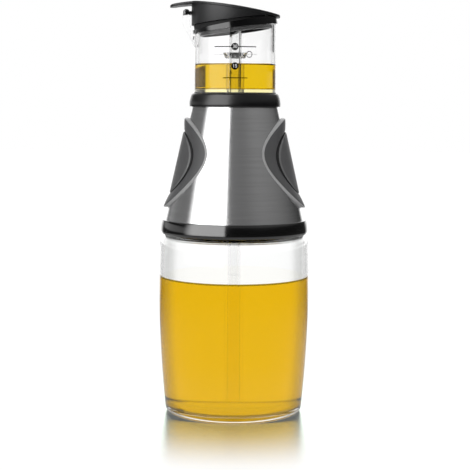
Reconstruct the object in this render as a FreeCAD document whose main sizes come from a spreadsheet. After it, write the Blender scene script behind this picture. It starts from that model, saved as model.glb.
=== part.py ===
import FreeCAD, Part
import os
import re

import Sketcher

# Squeeze-pump oil dispenser, in millimetres.
# Origin: centre of the bottle's foot, on the table. +Z is up.
# The spout points to +X and the thumb tongue to -X.

SIZES = [
    # Bottle
    ("bottle_shoulder_radius", 42.75),
    ("bottle_shoulder_height", 98.0),
    ("bottle_shoulder_round", 6.0),
    ("bottle_flare", 3.15),
    ("bottle_heel_round", 3.0),
    ("bottle_side_round", 728.0),
    ("bottle_wall", 2.6),
    ("bottle_floor", 3.4),
    ("bottle_floor_round", 4.0),
    ("foot_ring", 9.6),
    ("foot_hollow_depth", 1.2),
    ("foot_hollow_ramp", 6.0),
    ("neck_inset", 11.25),
    ("neck_wall", 3.5),
    ("neck_length", 14.0),
    ("lip_round", 1.4),
    # Oil
    ("bottle_headspace", 18.8),
    ("chamber_oil_depth", 13.5),
    ("liquid_clearance", 0.05),
    # Tube and standpipe
    ("tube_radius", 3.6),
    ("tube_wall", 1.2),
    ("tube_lift", 4.6),
    ("tube_clearance", 0.3),
    ("push_fit", 0.05),
    ("tube_end_rise", 0.5),
    ("tube_meeting_gap", 0.2),
    ("standpipe_drop", 0.8),
    ("standpipe_tip_slope", 23.0),
    ("joiner_wall", 1.9),
    ("joiner_reach", 6.5),
    ("joiner_gap", 0.1),
    ("joiner_flange_width", 2.5),
    ("joiner_flange", 1.5),
    ("disc_foot_width", 2.0),
    ("disc_flare", 1.5),
    ("disc_height", 3.4),
    ("disc_rise", 16.9),
    ("disc_floor", 0.9),
    ("disc_rim", 0.8),
    ("disc_rib", 0.6),
    ("disc_rib_height", 2.4),
    ("disc_rib_count", 12),
    # Gasket and screw collar
    ("gasket_height", 1.3),
    ("collar_clearance", 0.3),
    ("collar_inset", 0.45),
    ("collar_taper", 0.8),
    ("collar_overlap", 0.5),
    ("collar_height", 8.1),
    ("collar_bevel", 1.6),
    ("collar_side_round", 32.0),
    ("collar_lip", 1.2),
    ("collar_web", 2.6),
    ("collar_skirt", 2.2),
    ("collar_rim_clearance", 0.6),
    # Sleeve and core
    ("sleeve_inset", 2.4),
    ("sleeve_narrowing", 15.2),
    ("sleeve_height", 64.3),
    ("sleeve_wall", 0.6),
    ("skin_gap", 0.1),
    ("core_wall", 1.8),
    ("core_drop", 1.4),
    ("core_plate", 2.0),
    ("core_foot_seat", 1.2),
    # Grips, buttons and diaphragms
    ("grip_lift", 0.25),
    ("grip_end_inset", 6.55),
    ("grip_side_inset", 4.7),
    ("grip_band_along", 7.5),
    ("grip_band_across", 6.2),
    ("grip_cover", 2.0),
    ("grip_proud", 2.45),
    ("grip_flush", 0.1),
    ("grip_dish_depth", 1.5),
    ("grip_dish_width", 5.4),
    ("grip_seat", 0.05),
    ("button_gap", 0.5),
    ("button_foot_proud", 0.8),
    ("button_head_proud", 1.5),
    ("button_side_proud", 0.5),
    ("button_thickness", 0.9),
    ("button_chamfer", 0.7),
    ("pad_gap", 0.3),
    ("pad_margin", 2.9),
    ("diaphragm_margin", 3.5),
    ("diaphragm_wall", 1.2),
    # Top ring
    ("ring_overhang", 1.2),
    ("ring_belly", 0.15),
    ("ring_waist", 1.4),
    ("ring_shoulder_inset", 0.95),
    ("ring_shoulder", 1.5),
    ("ring_shoulder_width", 1.2),
    ("ring_shoulder_round", 1.9),
    ("ring_height", 7.4),
    ("ring_side_round", 16.0),
    ("ring_plate", 2.5),
    ("ring_plate_gap", 1.0),
    # Measuring chamber
    ("seal_height", 0.6),
    ("chamber_inset", 0.6),
    ("chamber_height", 35.7),
    ("chamber_wall", 2.0),
    ("chamber_floor", 1.8),
    ("chamber_floor_round", 1.0),
    ("chamber_spigot_inset", 2.2),
    ("chamber_spigot_wall", 2.1),
    ("chamber_spigot_gap", 0.3),
    ("chamber_boss", 1.8),
    ("rim_tilt", 7.2),
    # Hinge
    ("hinge_reach", 2.75),
    ("hinge_rise", 8.9),
    ("hinge_pin_radius", 0.8),
    ("hinge_running_gap", 0.05),
    ("knuckle_radius", 1.5),
    ("knuckle_half_width", 4.0),
    ("knuckle_web_half", 0.9),
    ("ear_gap", 0.3),
    ("ear_radius", 1.9),
    ("ear_width", 2.4),
    ("ear_bite", 0.6),
    ("ear_root_drop", 10.6),
    ("ear_inside_drop", 4.2),
    ("ear_elbow_rise", 2.4),
    # Pour collar
    ("pourer_overhang", 1.0),
    ("pourer_band", 3.3),
    ("pourer_band_tilt", 10.3),
    ("pourer_ledge", 1.1),
    ("pourer_spigot_gap", 0.5),
    ("pourer_spigot_wall", 1.4),
    ("pourer_spigot_length", 2.0),
    ("pourer_seat_gap", 0.05),
    ("pourer_step", 0.5),
    ("deck_foot", 0.4),
    ("deck_thickness", 1.35),
    ("deck_boss_radius", 4.2),
    ("deck_boss_depth", 0.8),
    ("slot_margin", 1.9),
    ("slot_length", 8.0),
    ("slot_half_width", 6.5),
    ("spout_half_width", 5.5),
    ("spout_bite", 1.0),
    ("vent_radius", 1.5),
    ("vent_margin", 6.4),
    # Lid
    ("lid_gap", 0.3),
    ("lid_foot", 5.0),
    ("lid_overhang", 0.6),
    ("lid_plate_lip", 0.4),
    ("lid_plate", 1.4),
    ("lid_wall", 1.5),
    ("lid_wall_drop", 0.2),
    ("lid_roof", 1.7),
    ("lid_top_rise", 13.15),
    ("lid_slope", 8.5),
    ("lid_crown_round", 215.0),
    ("tongue_reach", 11.8),
    ("tongue_tip_rise", 0.15),
    ("tongue_bite", 3.3),
    ("tongue_root_rise", 2.0),
    ("tongue_round", 96.0),
    ("tongue_thickness", 1.5),
    ("tongue_half_width", 9.0),
    ("tongue_tip_half_width", 7.0),
    ("tongue_tip_bow", 2.2),
    ("plug_lead", 1.5),
    ("plug_trail", 0.7),
    ("plug_side_gap", 0.5),
    ("plug_gap", 0.3),
]

# Radii and places across the object that follow from the sizes.
RADII = [
    ("bottle_foot_radius", "bottle_shoulder_radius - bottle_flare"),
    ("foot_hollow_radius", "bottle_foot_radius - foot_ring"),
    ("neck_radius", "bottle_shoulder_radius - neck_inset"),
    ("collar_radius", "bottle_shoulder_radius - collar_inset"),
    ("collar_foot_radius", "collar_radius - collar_taper"),
    ("sleeve_foot_radius", "collar_radius - sleeve_inset"),
    ("sleeve_top_radius", "sleeve_foot_radius - sleeve_narrowing"),
    ("grip_half_width", "(sleeve_foot_radius + sleeve_top_radius) / 2 - grip_side_inset"),
    ("grip_half_length", "sleeve_height / 2 - grip_end_inset"),
    ("grip_hole_half_width", "grip_half_width - grip_band_across"),
    ("grip_hole_half_length", "grip_half_length - grip_band_along"),
    ("ring_foot_radius", "sleeve_top_radius + ring_overhang"),
    ("ring_radius", "ring_foot_radius + ring_belly"),
    ("ring_shoulder_radius", "ring_radius - ring_shoulder_inset"),
    ("ring_top_radius", "ring_shoulder_radius - ring_shoulder_width"),
    ("ring_spigot_radius", "sleeve_top_radius - sleeve_wall - skin_gap"),
    ("joiner_radius", "tube_radius + joiner_wall"),
    ("joiner_flange_radius", "joiner_radius + joiner_flange_width"),
    ("ring_plate_bore", "joiner_flange_radius + ring_plate_gap"),
    ("disc_foot_radius", "tube_radius + disc_foot_width"),
    ("disc_radius", "disc_foot_radius + disc_flare"),
    ("chamber_radius", "ring_top_radius - chamber_inset"),
    ("chamber_spigot_radius", "chamber_radius - chamber_spigot_inset"),
    ("pourer_radius", "chamber_radius + pourer_overhang"),
    ("pourer_neck_radius", "pourer_radius - pourer_ledge"),
    ("pourer_spigot_radius", "chamber_radius - chamber_wall - pourer_spigot_gap"),
    ("pourer_bore", "pourer_spigot_radius - pourer_spigot_wall"),
    ("slot_far", "pourer_bore - slot_margin"),
    ("slot_near", "slot_far - slot_length"),
    ("spout_near", "slot_far - spout_bite"),
    ("vent_x", "pourer_bore - vent_margin"),
    ("plug_near", "slot_near - plug_lead"),
    ("plug_far", "slot_far - plug_trail"),
    ("plug_half_width", "slot_half_width - plug_side_gap"),
    ("lid_radius", "pourer_radius + lid_overhang"),
    ("lid_plate_radius", "lid_radius + lid_plate_lip"),
    ("hinge_x", "lid_radius + hinge_reach"),
    ("tongue_tip_x", "lid_plate_radius + tongue_reach"),
    ("tongue_root_x", "lid_plate_radius - tongue_bite"),
]

# Heights that follow from the sizes: the pour collar's deck above the rim, all others above the table.
HEIGHTS = [
    ("deck_top", "deck_foot + deck_thickness"),
    ("shoulder_top", "bottle_shoulder_height + bottle_shoulder_round"),
    ("neck_top", "shoulder_top + neck_length"),
    ("bottle_oil_level", "bottle_shoulder_height - bottle_headspace"),
    ("tube_foot", "bottle_floor + tube_lift"),
    ("collar_foot", "shoulder_top - collar_overlap"),
    ("sleeve_foot", "collar_foot + collar_height"),
    ("sleeve_top", "sleeve_foot + sleeve_height"),
    ("core_top", "sleeve_top - core_drop"),
    ("grip_height", "sleeve_foot + sleeve_height / 2 + grip_lift"),
    ("ring_top", "sleeve_top + ring_height"),
    ("chamber_foot", "ring_top + seal_height"),
    ("chamber_floor_top", "chamber_foot + chamber_floor"),
    ("chamber_oil_level", "chamber_floor_top + chamber_oil_depth"),
    ("rim_height", "chamber_foot + chamber_height"),
    ("tube_meeting_height", "core_top + tube_end_rise"),
    ("joiner_foot", "core_top - joiner_reach"),
    ("joiner_top", "chamber_foot - chamber_boss - joiner_gap"),
    ("disc_foot", "chamber_floor_top + disc_rise"),
    ("standpipe_tip_height", "rim_height - standpipe_drop"),
    ("ear_root_height", "rim_height - ear_root_drop"),
    ("ear_inside_height", "rim_height - ear_inside_drop"),
    ("ear_elbow_height", "rim_height + ear_elbow_rise"),
    ("hinge_height", "rim_height + hinge_rise"),
    ("lid_top_height", "rim_height + lid_top_rise"),
    ("tongue_root_height", "lid_top_height + tongue_root_rise"),
    ("tongue_tip_height", "lid_top_height + tongue_tip_rise"),
]

doc = FreeCAD.newDocument("OilDispenser")
sheet = doc.addObject("Spreadsheet::Sheet", "Sizes")
rows = [(alias, str(size)) for alias, size in SIZES]
rows += [(alias, "=" + text) for alias, text in RADII + HEIGHTS]
for row, (alias, content) in enumerate(rows, start=1):
    sheet.set(f"A{row}", alias)
    sheet.set(f"B{row}", content)
    sheet.setAlias(f"B{row}", alias)
doc.recompute()

ALIASES = {alias for alias, _ in rows}
XZ, XY = "XZ_Plane", "XY_Plane"
# Turned by half, a cone's seam lies away from the right-hand grip.
SEAM_AWAY = FreeCAD.Placement(FreeCAD.Vector(), FreeCAD.Rotation(FreeCAD.Vector(0, 0, 1), 180))
pieces = []


def sized(text):
    """Return an expression with every size name pointed at the sheet."""
    return re.sub(r"[a-z][a-z_]*", lambda word: "Sizes." * (word[0] in ALIASES) + word[0], str(text))


def value(text):
    """Return what an expression comes to, as a plain number."""
    result = sheet.evalExpression(sized(text))
    return float(getattr(result, "Value", result))


def bind(obj, prop, text):
    """Tie a property to an expression of the named sizes."""
    obj.setExpression(prop, sized(text))


def cone_radius(height, inset="0"):
    """Radius of the sleeve's cone at a height, less an inset, as an expression."""
    fall = "(sleeve_foot_radius - sleeve_top_radius) / (sleeve_top - sleeve_foot)"
    return f"(sleeve_foot_radius - {fall} * (({height}) - sleeve_foot) - ({inset}))"


def new_body(label):
    body = doc.addObject("PartDesign::Body", label)
    body.Label = label
    return body


def attach(body, sketch, plane, lift=None, turn=None):
    """Lay a sketch on one of the body's origin planes, lifted along Z and turned in its plane."""
    origin_plane = next(f for f in body.Origin.OriginFeatures if f.Role == plane)
    sketch.AttachmentSupport = (origin_plane, [""])
    sketch.MapMode = "FlatFace"
    if lift is not None:
        bind(sketch, "AttachmentOffset.Base." + ("y" if plane == XZ else "z"), lift)
    if turn is not None:
        sketch.AttachmentOffset = FreeCAD.Placement(
            FreeCAD.Vector(), FreeCAD.Rotation(FreeCAD.Vector(0, 0, 1), value(turn)))
        bind(sketch, "AttachmentOffset.Rotation.Angle", turn)


def hold_point(sketch, edge, end, across, up):
    """Fix one point of an edge at two expressions, measured from the sketch's origin."""
    for kind, text, axis in (("DistanceX", across, -2), ("DistanceY", up, -1)):
        if text == "0":
            sketch.addConstraint(Sketcher.Constraint("PointOnObject", edge, end, axis))
            continue
        place = sketch.addConstraint(Sketcher.Constraint(kind, -1, 1, edge, end, value(text)))
        bind(sketch, f"Constraints[{place}]", text)


def arc_between(start, stop, radius):
    """Arc between two points, as the sketcher wants it: anticlockwise.

    A positive radius puts the bulge to the right of the way from start to stop, a negative one left.
    """
    side = 1 if radius > 0 else -1
    chord = stop - start
    left = FreeCAD.Vector(-chord.y, chord.x, 0).normalize() * side
    rise = max(radius ** 2 - (chord.Length / 2) ** 2, 0) ** 0.5
    middle = (start + stop) / 2 + left * (rise - abs(radius))
    return Part.Arc(start, middle, stop) if radius > 0 else Part.Arc(stop, middle, start)


def outline(body, name, corners, plane=XZ, lift=None, turn=None):
    """Sketch a closed outline.

    Each corner is (across, up) or (across, up, radius): with a radius, an arc runs from there to the next
    corner, bulging to the right of its way, or to the left where the radius is written with a minus sign.
    """
    sketch = body.newObject("Sketcher::SketchObject", name)
    attach(body, sketch, plane, lift, turn)
    places = [FreeCAD.Vector(value(corner[0]), value(corner[1]), 0) for corner in corners]
    count = len(corners)
    ends = []
    for index, corner in enumerate(corners):
        start, stop = places[index], places[(index + 1) % count]
        if len(corner) == 3:
            radius = value(corner[2])
            sketch.addGeometry(arc_between(start, stop, radius))
            ends.append((1, 2) if radius > 0 else (2, 1))
        else:
            sketch.addGeometry(Part.LineSegment(start, stop))
            ends.append((1, 2))
    for index, corner in enumerate(corners):
        after = (index + 1) % count
        sketch.addConstraint(Sketcher.Constraint("Coincident", index, ends[index][1], after, ends[after][0]))
        hold_point(sketch, index, ends[index][0], corner[0], corner[1])
        if len(corner) == 3:
            size = corner[2].lstrip("-")
            place = sketch.addConstraint(Sketcher.Constraint("Radius", index, value(size)))
            bind(sketch, f"Constraints[{place}]", size)
    return sketch


def circle(body, name, radius, across="0", up="0", plane=XY, lift=None, turn=None):
    """Sketch a circle."""
    sketch = body.newObject("Sketcher::SketchObject", name)
    attach(body, sketch, plane, lift, turn)
    centre = FreeCAD.Vector(value(across), value(up), 0)
    sketch.addGeometry(Part.Circle(centre, FreeCAD.Vector(0, 0, 1), value(radius)))
    hold_point(sketch, 0, 3, across, up)
    place = sketch.addConstraint(Sketcher.Constraint("Radius", 0, value(radius)))
    bind(sketch, f"Constraints[{place}]", radius)
    return sketch


def rectangle(body, name, near, far, half, plane=XY, lift=None, turn=None):
    """Sketch a rectangle from near to far across, and half a width up and down."""
    corners = [(near, f"-({half})"), (far, f"-({half})"), (far, half), (near, half)]
    return outline(body, name, corners, plane, lift, turn)


def turned(body, sketch, kind="Revolution"):
    """Revolve a sketch about its own upright axis, adding or cutting."""
    feature = body.newObject("PartDesign::" + kind, sketch.Name + "_turned")
    feature.Profile = sketch
    feature.ReferenceAxis = (sketch, ["V_Axis"])
    feature.Angle = 360
    return feature


def padded(body, sketch, length, both=False, down=False):
    """Pad a sketch by a length, to both sides or downwards."""
    feature = body.newObject("PartDesign::Pad", sketch.Name + "_padded")
    feature.Profile = sketch
    bind(feature, "Length", length)
    feature.SideType = "Symmetric" if both else "One side"
    feature.Reversed = down
    return feature


def pocketed(body, sketch, length=None, both=False, up=False):
    """Cut a sketch out of the body, through all of it or by a length. The volume has to fall."""
    doc.recompute()
    before = body.Shape.Volume
    feature = body.newObject("PartDesign::Pocket", sketch.Name + "_cut")
    feature.Profile = sketch
    if length is None:
        feature.Type = "ThroughAll"
    else:
        bind(feature, "Length", length)
    feature.SideType = "Symmetric" if both else "One side"
    feature.Reversed = up
    doc.recompute()
    if not body.Shape.Volume < before - 1e-3:
        raise RuntimeError(f"{feature.Name} cuts nothing")
    return feature


def finished(label, obj):
    """Give a sub-part its name and keep it for the export."""
    obj.Label = label
    pieces.append((label, obj))
    return obj


# Bottle: a bulging glass jar with a thick foot, a round shoulder and a neck for the screw collar.
def glass_bottle():
    body = new_body("glass_bottle")
    inner_round = "-(bottle_shoulder_round - bottle_wall)"
    inner_side_round = "-(bottle_side_round - bottle_wall)"
    section = outline(body, "bottle_section", [
        ("0", "foot_hollow_depth"),
        ("foot_hollow_radius - foot_hollow_ramp", "foot_hollow_depth"),
        ("foot_hollow_radius", "0"),
        ("bottle_foot_radius - bottle_heel_round", "0", "bottle_heel_round"),
        ("bottle_foot_radius", "bottle_heel_round", "bottle_side_round"),
        ("bottle_shoulder_radius", "bottle_shoulder_height", "bottle_shoulder_round"),
        ("bottle_shoulder_radius - bottle_shoulder_round", "shoulder_top"),
        ("neck_radius", "shoulder_top"),
        ("neck_radius", "neck_top - lip_round", "lip_round"),
        ("neck_radius - lip_round", "neck_top"),
        ("neck_radius - neck_wall + lip_round", "neck_top", "lip_round"),
        ("neck_radius - neck_wall", "neck_top - lip_round"),
        ("neck_radius - neck_wall", "shoulder_top - bottle_wall"),
        ("bottle_shoulder_radius - bottle_shoulder_round", "shoulder_top - bottle_wall", inner_round),
        ("bottle_shoulder_radius - bottle_wall", "bottle_shoulder_height", inner_side_round),
        ("bottle_foot_radius - bottle_wall", "bottle_floor + bottle_floor_round", "-bottle_floor_round"),
        ("bottle_foot_radius - bottle_wall - bottle_floor_round", "bottle_floor"),
        ("0", "bottle_floor"),
    ])
    turned(body, section)
    return finished("glass_bottle", body)


def bottle_bore_at(height):
    """Inner radius of the bottle's side at a height, as an expression."""
    foot = "(bottle_foot_radius - bottle_wall)"
    top = "(bottle_shoulder_radius - bottle_wall)"
    low = "(bottle_floor + bottle_floor_round)"
    span = f"(bottle_shoulder_height - {low})"
    share = f"((({height}) - {low}) / {span})"
    swell = f"({span} ^ 2 / (bottle_side_round - bottle_wall) / 2 * {share} * (1 - {share}))"
    return f"({foot} + ({top} - {foot}) * {share} + {swell})"


def bottle_oil():
    body = new_body("bottle_oil")
    foot = "bottle_foot_radius - bottle_wall - liquid_clearance"
    section = outline(body, "bottle_oil_section", [
        ("tube_radius + tube_clearance", "bottle_floor + liquid_clearance"),
        (f"{foot} - bottle_floor_round", "bottle_floor + liquid_clearance", "bottle_floor_round"),
        (foot, "bottle_floor + bottle_floor_round + liquid_clearance", "bottle_side_round - bottle_wall"),
        (f"{bottle_bore_at('bottle_oil_level')} - liquid_clearance", "bottle_oil_level"),
        ("tube_radius + tube_clearance", "bottle_oil_level"),
    ])
    turned(body, section)
    return finished("bottle_oil", body)


# Neck gasket and screw collar: the black band on the bottle's shoulder, whose skirt screws over the neck.
def neck_gasket():
    body = new_body("neck_gasket")
    section = outline(body, "gasket_section", [
        ("neck_radius - neck_wall", "neck_top"),
        ("neck_radius", "neck_top"),
        ("neck_radius", "neck_top + gasket_height"),
        ("neck_radius - neck_wall", "neck_top + gasket_height"),
    ])
    turned(body, section)
    return finished("neck_gasket", body)


def screw_collar():
    body = new_body("screw_collar")
    skirt_bore = "neck_radius + collar_clearance"
    skirt_out = "neck_radius + collar_clearance + collar_skirt"
    web_foot = "shoulder_top + collar_rim_clearance"
    web_top = f"{web_foot} + collar_web"
    cap_foot = "neck_top + gasket_height"
    core_bore = cone_radius("sleeve_foot", "sleeve_wall + skin_gap + core_wall")
    section = outline(body, "collar_section", [
        (skirt_bore, web_foot),
        ("collar_foot_radius - collar_lip", web_foot),
        ("collar_foot_radius - collar_lip", "collar_foot"),
        ("collar_foot_radius", "collar_foot"),
        ("collar_radius", "collar_foot + collar_bevel", "collar_side_round"),
        ("collar_foot_radius", "sleeve_foot"),
        (f"{core_bore} - core_foot_seat", "sleeve_foot"),
        (f"{core_bore} - core_foot_seat", web_top),
        (skirt_out, web_top),
        (skirt_out, f"{cap_foot} + core_foot_seat"),
        ("neck_radius - neck_wall", f"{cap_foot} + core_foot_seat"),
        ("neck_radius - neck_wall", cap_foot),
        (skirt_bore, cap_foot),
    ])
    turned(body, section)
    return finished("screw_collar", body)


# Sleeve and core: a thin steel cone over the plastic one round the pump's air space, with a window each side.
def cone_solid(name, inset, foot="sleeve_foot", top="sleeve_top"):
    """A solid of the sleeve's cone, smaller by an inset, from one height to another."""
    cone = doc.addObject("Part::Cone", name)
    bind(cone, "Radius1", cone_radius(foot, inset))
    bind(cone, "Radius2", cone_radius(top, inset))
    bind(cone, "Height", f"({top}) - ({foot})")
    cone.Placement = SEAM_AWAY
    bind(cone, "Placement.Base.z", foot)
    return cone


def drum(name, edge, grow_length="0", grow_width="0", through=False):
    """Solid oval drum along X at the grip's height. The base oval is the grip's outer edge or the hole's."""
    along, across = f"{edge[0]} + ({grow_length})", f"{edge[1]} + ({grow_width})"
    # The larger radius comes first, and the turn lays it across the grip or along it.
    if value(across) > value(along):
        major, minor, turn = across, along, FreeCAD.Rotation(FreeCAD.Vector(1, 1, 1), 120)
    else:
        major, minor, turn = along, across, FreeCAD.Rotation(FreeCAD.Vector(0, 1, 0), 90)
    oval = doc.addObject("Part::Ellipse", name + "_oval")
    bind(oval, "MajorRadius", major)
    bind(oval, "MinorRadius", minor)
    oval.Placement = FreeCAD.Placement(FreeCAD.Vector(), turn)
    bind(oval, "Placement.Base.z", "grip_height")
    extrusion = doc.addObject("Part::Extrusion", name)
    extrusion.Base = oval
    extrusion.DirMode = "Normal"
    bind(extrusion, "LengthFwd", "2 * sleeve_foot_radius")
    if through:
        bind(extrusion, "LengthRev", "2 * sleeve_foot_radius")
    extrusion.Solid = True
    return extrusion


GRIP_EDGE = ("grip_half_length", "grip_half_width")
GRIP_HOLE = ("grip_hole_half_length", "grip_hole_half_width")


def cut(name, base, tool):
    result = doc.addObject("Part::Cut", name)
    result.Base, result.Tool = base, tool
    return result


def common(name, *shapes):
    result = doc.addObject("Part::MultiCommon", name)
    result.Shapes = list(shapes)
    return result


def fused(name, *shapes):
    result = doc.addObject("Part::MultiFuse", name)
    result.Shapes = list(shapes)
    return result


def steel_sleeve():
    shell = cut("sleeve_shell", cone_solid("sleeve_outside", "0"), cone_solid("sleeve_inside", "sleeve_wall"))
    window = drum("sleeve_window", GRIP_EDGE, "-grip_cover", "-grip_cover", through=True)
    return finished("steel_sleeve", cut("steel_sleeve_cut", shell, window))


def head_core():
    skin = "sleeve_wall + skin_gap"
    body = new_body("head_core_cone")
    section = outline(body, "core_section", [
        (cone_radius("sleeve_foot", f"{skin} + core_wall"), "sleeve_foot"),
        (cone_radius("sleeve_foot", skin), "sleeve_foot"),
        (cone_radius("core_top", skin), "core_top"),
        ("joiner_radius + push_fit", "core_top"),
        ("joiner_radius + push_fit", "core_top - core_plate"),
        (cone_radius("core_top - core_plate", f"{skin} + core_wall"), "core_top - core_plate"),
    ])
    turned(body, section)
    window = drum("core_window", GRIP_HOLE, through=True)
    return finished("head_core", cut("head_core_cut", body, window))


# Grips: an oval dished ring each side, saddle-shaped over the cone, round a button backed by a diaphragm.
def swollen_cone(name, foot_proud, head_proud, side_proud):
    """Cone with an oval section: it stands proud of the sleeve at the sides, and less at front and back."""
    ovals = []
    for end, height, proud in (("foot", "sleeve_foot", foot_proud), ("head", "sleeve_top", head_proud)):
        oval = doc.addObject("Part::Ellipse", f"{name}_{end}")
        bind(oval, "MajorRadius", cone_radius(height, f"-({proud})"))
        bind(oval, "MinorRadius", cone_radius(height, f"-({side_proud})"))
        oval.Placement = SEAM_AWAY
        bind(oval, "Placement.Base.z", height)
        ovals.append(oval)
    loft = doc.addObject("Part::Loft", name)
    loft.Sections = ovals
    loft.Solid = True
    loft.Ruled = True
    return loft


def longest_edge(shape, half_width):
    """Name of the longest edge that reaches a half width across: the front edge of a hole or button."""
    reach = value(half_width)
    around = [(edge.Length, number) for number, edge in enumerate(shape.Edges, start=1)
              if abs(edge.BoundBox.YMax - reach) < value("skin_gap")
              and edge.Curve.TypeId != "Part::GeomLine"]
    return f"Edge{max(around)[1]}"


def chamfered(name, base, half_width, deep, wide):
    """Slope the front edge of an oval solid: deep along its side, wide along its face."""
    doc.recompute()
    body = new_body(name)
    body.BaseFeature = base
    chamfer = body.newObject("PartDesign::Chamfer", name + "_slope")
    chamfer.Base = (body.Group[0], [longest_edge(base.Shape, half_width)])
    chamfer.ChamferType = "Two distances"
    bind(chamfer, "Size", wide)
    bind(chamfer, "Size2", deep)
    return body


def grip_ring():
    face = swollen_cone("grip_face", "grip_proud", "grip_proud", "grip_flush")
    frame = cut("grip_frame", drum("grip_edge", GRIP_EDGE), drum("grip_hole", GRIP_HOLE))
    blank = common("grip_blank", face, frame)
    root = drum("grip_root", GRIP_EDGE, "-grip_cover - skin_gap", "-grip_cover - skin_gap")
    seat = cut("grip_seat_ring", cone_solid("grip_seat_cone", "-grip_seat"), root)
    seated = cut("grip_seated", blank, seat)
    plain = cut("grip_ring_plain", seated, cone_solid("grip_back", "sleeve_wall"))
    return chamfered("grip_dish", plain, "grip_hole_half_width", "grip_dish_depth", "grip_dish_width")


def press_button():
    face = swollen_cone("button_face", "button_foot_proud", "button_head_proud", "button_side_proud")
    plug = common("button_blank", face, drum("button_edge", GRIP_HOLE, "-button_gap", "-button_gap"))
    plain = cut("button_plain", plug, cone_solid("button_back", "button_thickness"))
    edge_reach = "grip_hole_half_width - button_gap"
    return chamfered("button_edge", plain, edge_reach, "button_chamfer", "button_chamfer")


def diaphragm():
    pad_front = "button_thickness + pad_gap"
    skin = "sleeve_wall + skin_gap + core_wall + grip_seat"
    pad = common("pad_blank", cone_solid("pad_front", pad_front),
                 drum("pad_edge", GRIP_HOLE, "-pad_margin", "-pad_margin"))
    sheet_blank = common("flange_blank", cone_solid("flange_front", skin),
                         drum("flange_edge", GRIP_HOLE, "diaphragm_margin", "diaphragm_margin"))
    whole = fused("diaphragm_whole", pad, sheet_blank)
    return cut("diaphragm_plain", whole, cone_solid("diaphragm_back", f"{skin} + diaphragm_wall"))


def grips():
    """Make the right-hand grip, button and diaphragm, and mirror each to the left."""
    makers = (("grip_ring", grip_ring), ("press_button", press_button), ("diaphragm", diaphragm))
    for label, make in makers:
        plain = make()
        finished("right_" + label, plain)
        mirrored = doc.addObject("Part::Mirroring", "left_" + label)
        mirrored.Source = plain
        mirrored.Normal = (1, 0, 0)
        finished("left_" + label, mirrored)


# Tube, joiner and standpipe: the oil's way up from the bottle's floor to the measuring chamber.
def suction_tube():
    body = new_body("suction_tube")
    section = outline(body, "tube_section", [
        ("tube_radius - tube_wall", "tube_foot"),
        ("tube_radius", "tube_foot"),
        ("tube_radius", "tube_meeting_height"),
        ("tube_radius - tube_wall", "tube_meeting_height"),
    ])
    turned(body, section)
    return finished("suction_tube", body)


def tube_joiner():
    body = new_body("tube_joiner")
    section = outline(body, "joiner_section", [
        ("tube_radius + push_fit", "joiner_foot"),
        ("joiner_radius", "joiner_foot"),
        ("joiner_radius", "core_top"),
        ("joiner_flange_radius", "core_top"),
        ("joiner_flange_radius", "core_top + joiner_flange"),
        ("joiner_radius", "core_top + joiner_flange"),
        ("joiner_radius", "joiner_top"),
        ("tube_radius + push_fit", "joiner_top"),
    ])
    turned(body, section)
    return finished("tube_joiner", body)


def standpipe():
    body = new_body("standpipe")
    section = outline(body, "standpipe_section", [
        ("tube_radius - tube_wall", "tube_meeting_height + tube_meeting_gap"),
        ("tube_radius", "tube_meeting_height + tube_meeting_gap"),
        ("tube_radius", "standpipe_tip_height + tube_radius"),
        ("tube_radius - tube_wall", "standpipe_tip_height + tube_radius"),
    ])
    turned(body, section)
    low = "standpipe_tip_height - 2 * tube_radius * tan(standpipe_tip_slope)"
    slant = outline(body, "standpipe_slant", [
        ("-tube_radius", low),
        ("tube_radius", "standpipe_tip_height"),
        ("2 * tube_radius", "standpipe_tip_height + 2 * tube_radius"),
        ("-2 * tube_radius", "standpipe_tip_height + 2 * tube_radius"),
        ("-2 * tube_radius", low),
    ])
    pocketed(body, slant, both=True)
    return finished("standpipe", body)


def splash_disc():
    """Shallow saucer on the standpipe, with ribs between its hub and its rim."""
    body = new_body("splash_disc")
    hub = "tube_radius + push_fit"
    section = outline(body, "disc_section", [
        (hub, "disc_foot"),
        ("disc_foot_radius", "disc_foot"),
        ("disc_radius", "disc_foot + disc_height"),
        ("disc_radius - disc_rim", "disc_foot + disc_height"),
        ("disc_foot_radius - disc_rim", "disc_foot + disc_floor"),
        (f"{hub} + disc_rim", "disc_foot + disc_floor"),
        (f"{hub} + disc_rim", "disc_foot + disc_height"),
        (hub, "disc_foot + disc_height"),
    ])
    turned(body, section)
    near, far = f"{hub} + disc_rim / 2", "disc_foot_radius - disc_rim / 2"
    rib_sketch = rectangle(body, "disc_rib_section", near, far, "disc_rib / 2",
                           lift="disc_foot + disc_floor / 2")
    rib = padded(body, rib_sketch, "disc_rib_height")
    doc.recompute()
    pattern = body.newObject("PartDesign::PolarPattern", "disc_ribs")
    pattern.Originals = [rib]
    pattern.Axis = (rib_sketch, ["N_Axis"])
    pattern.Angle = 360
    bind(pattern, "Occurrences", "disc_rib_count")
    body.Tip = pattern
    return finished("splash_disc", body)


# Top ring and measuring chamber: the black ring that crowns the sleeve, and the clear cup with a slanted rim.
def top_ring():
    body = new_body("top_ring")
    plate_top = "core_top + ring_plate"
    section = outline(body, "ring_section", [
        ("ring_plate_bore", "core_top"),
        ("ring_spigot_radius", "core_top"),
        ("ring_spigot_radius", "sleeve_top"),
        ("ring_foot_radius", "sleeve_top"),
        ("ring_radius", "sleeve_top + ring_waist", "ring_side_round"),
        ("ring_shoulder_radius", "ring_top - ring_shoulder", "ring_shoulder_round"),
        ("ring_top_radius", "ring_top"),
        ("chamber_spigot_radius + push_fit", "ring_top"),
        ("chamber_spigot_radius + push_fit", plate_top),
        ("ring_plate_bore", plate_top),
    ])
    turned(body, section)
    return finished("top_ring", body)


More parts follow.
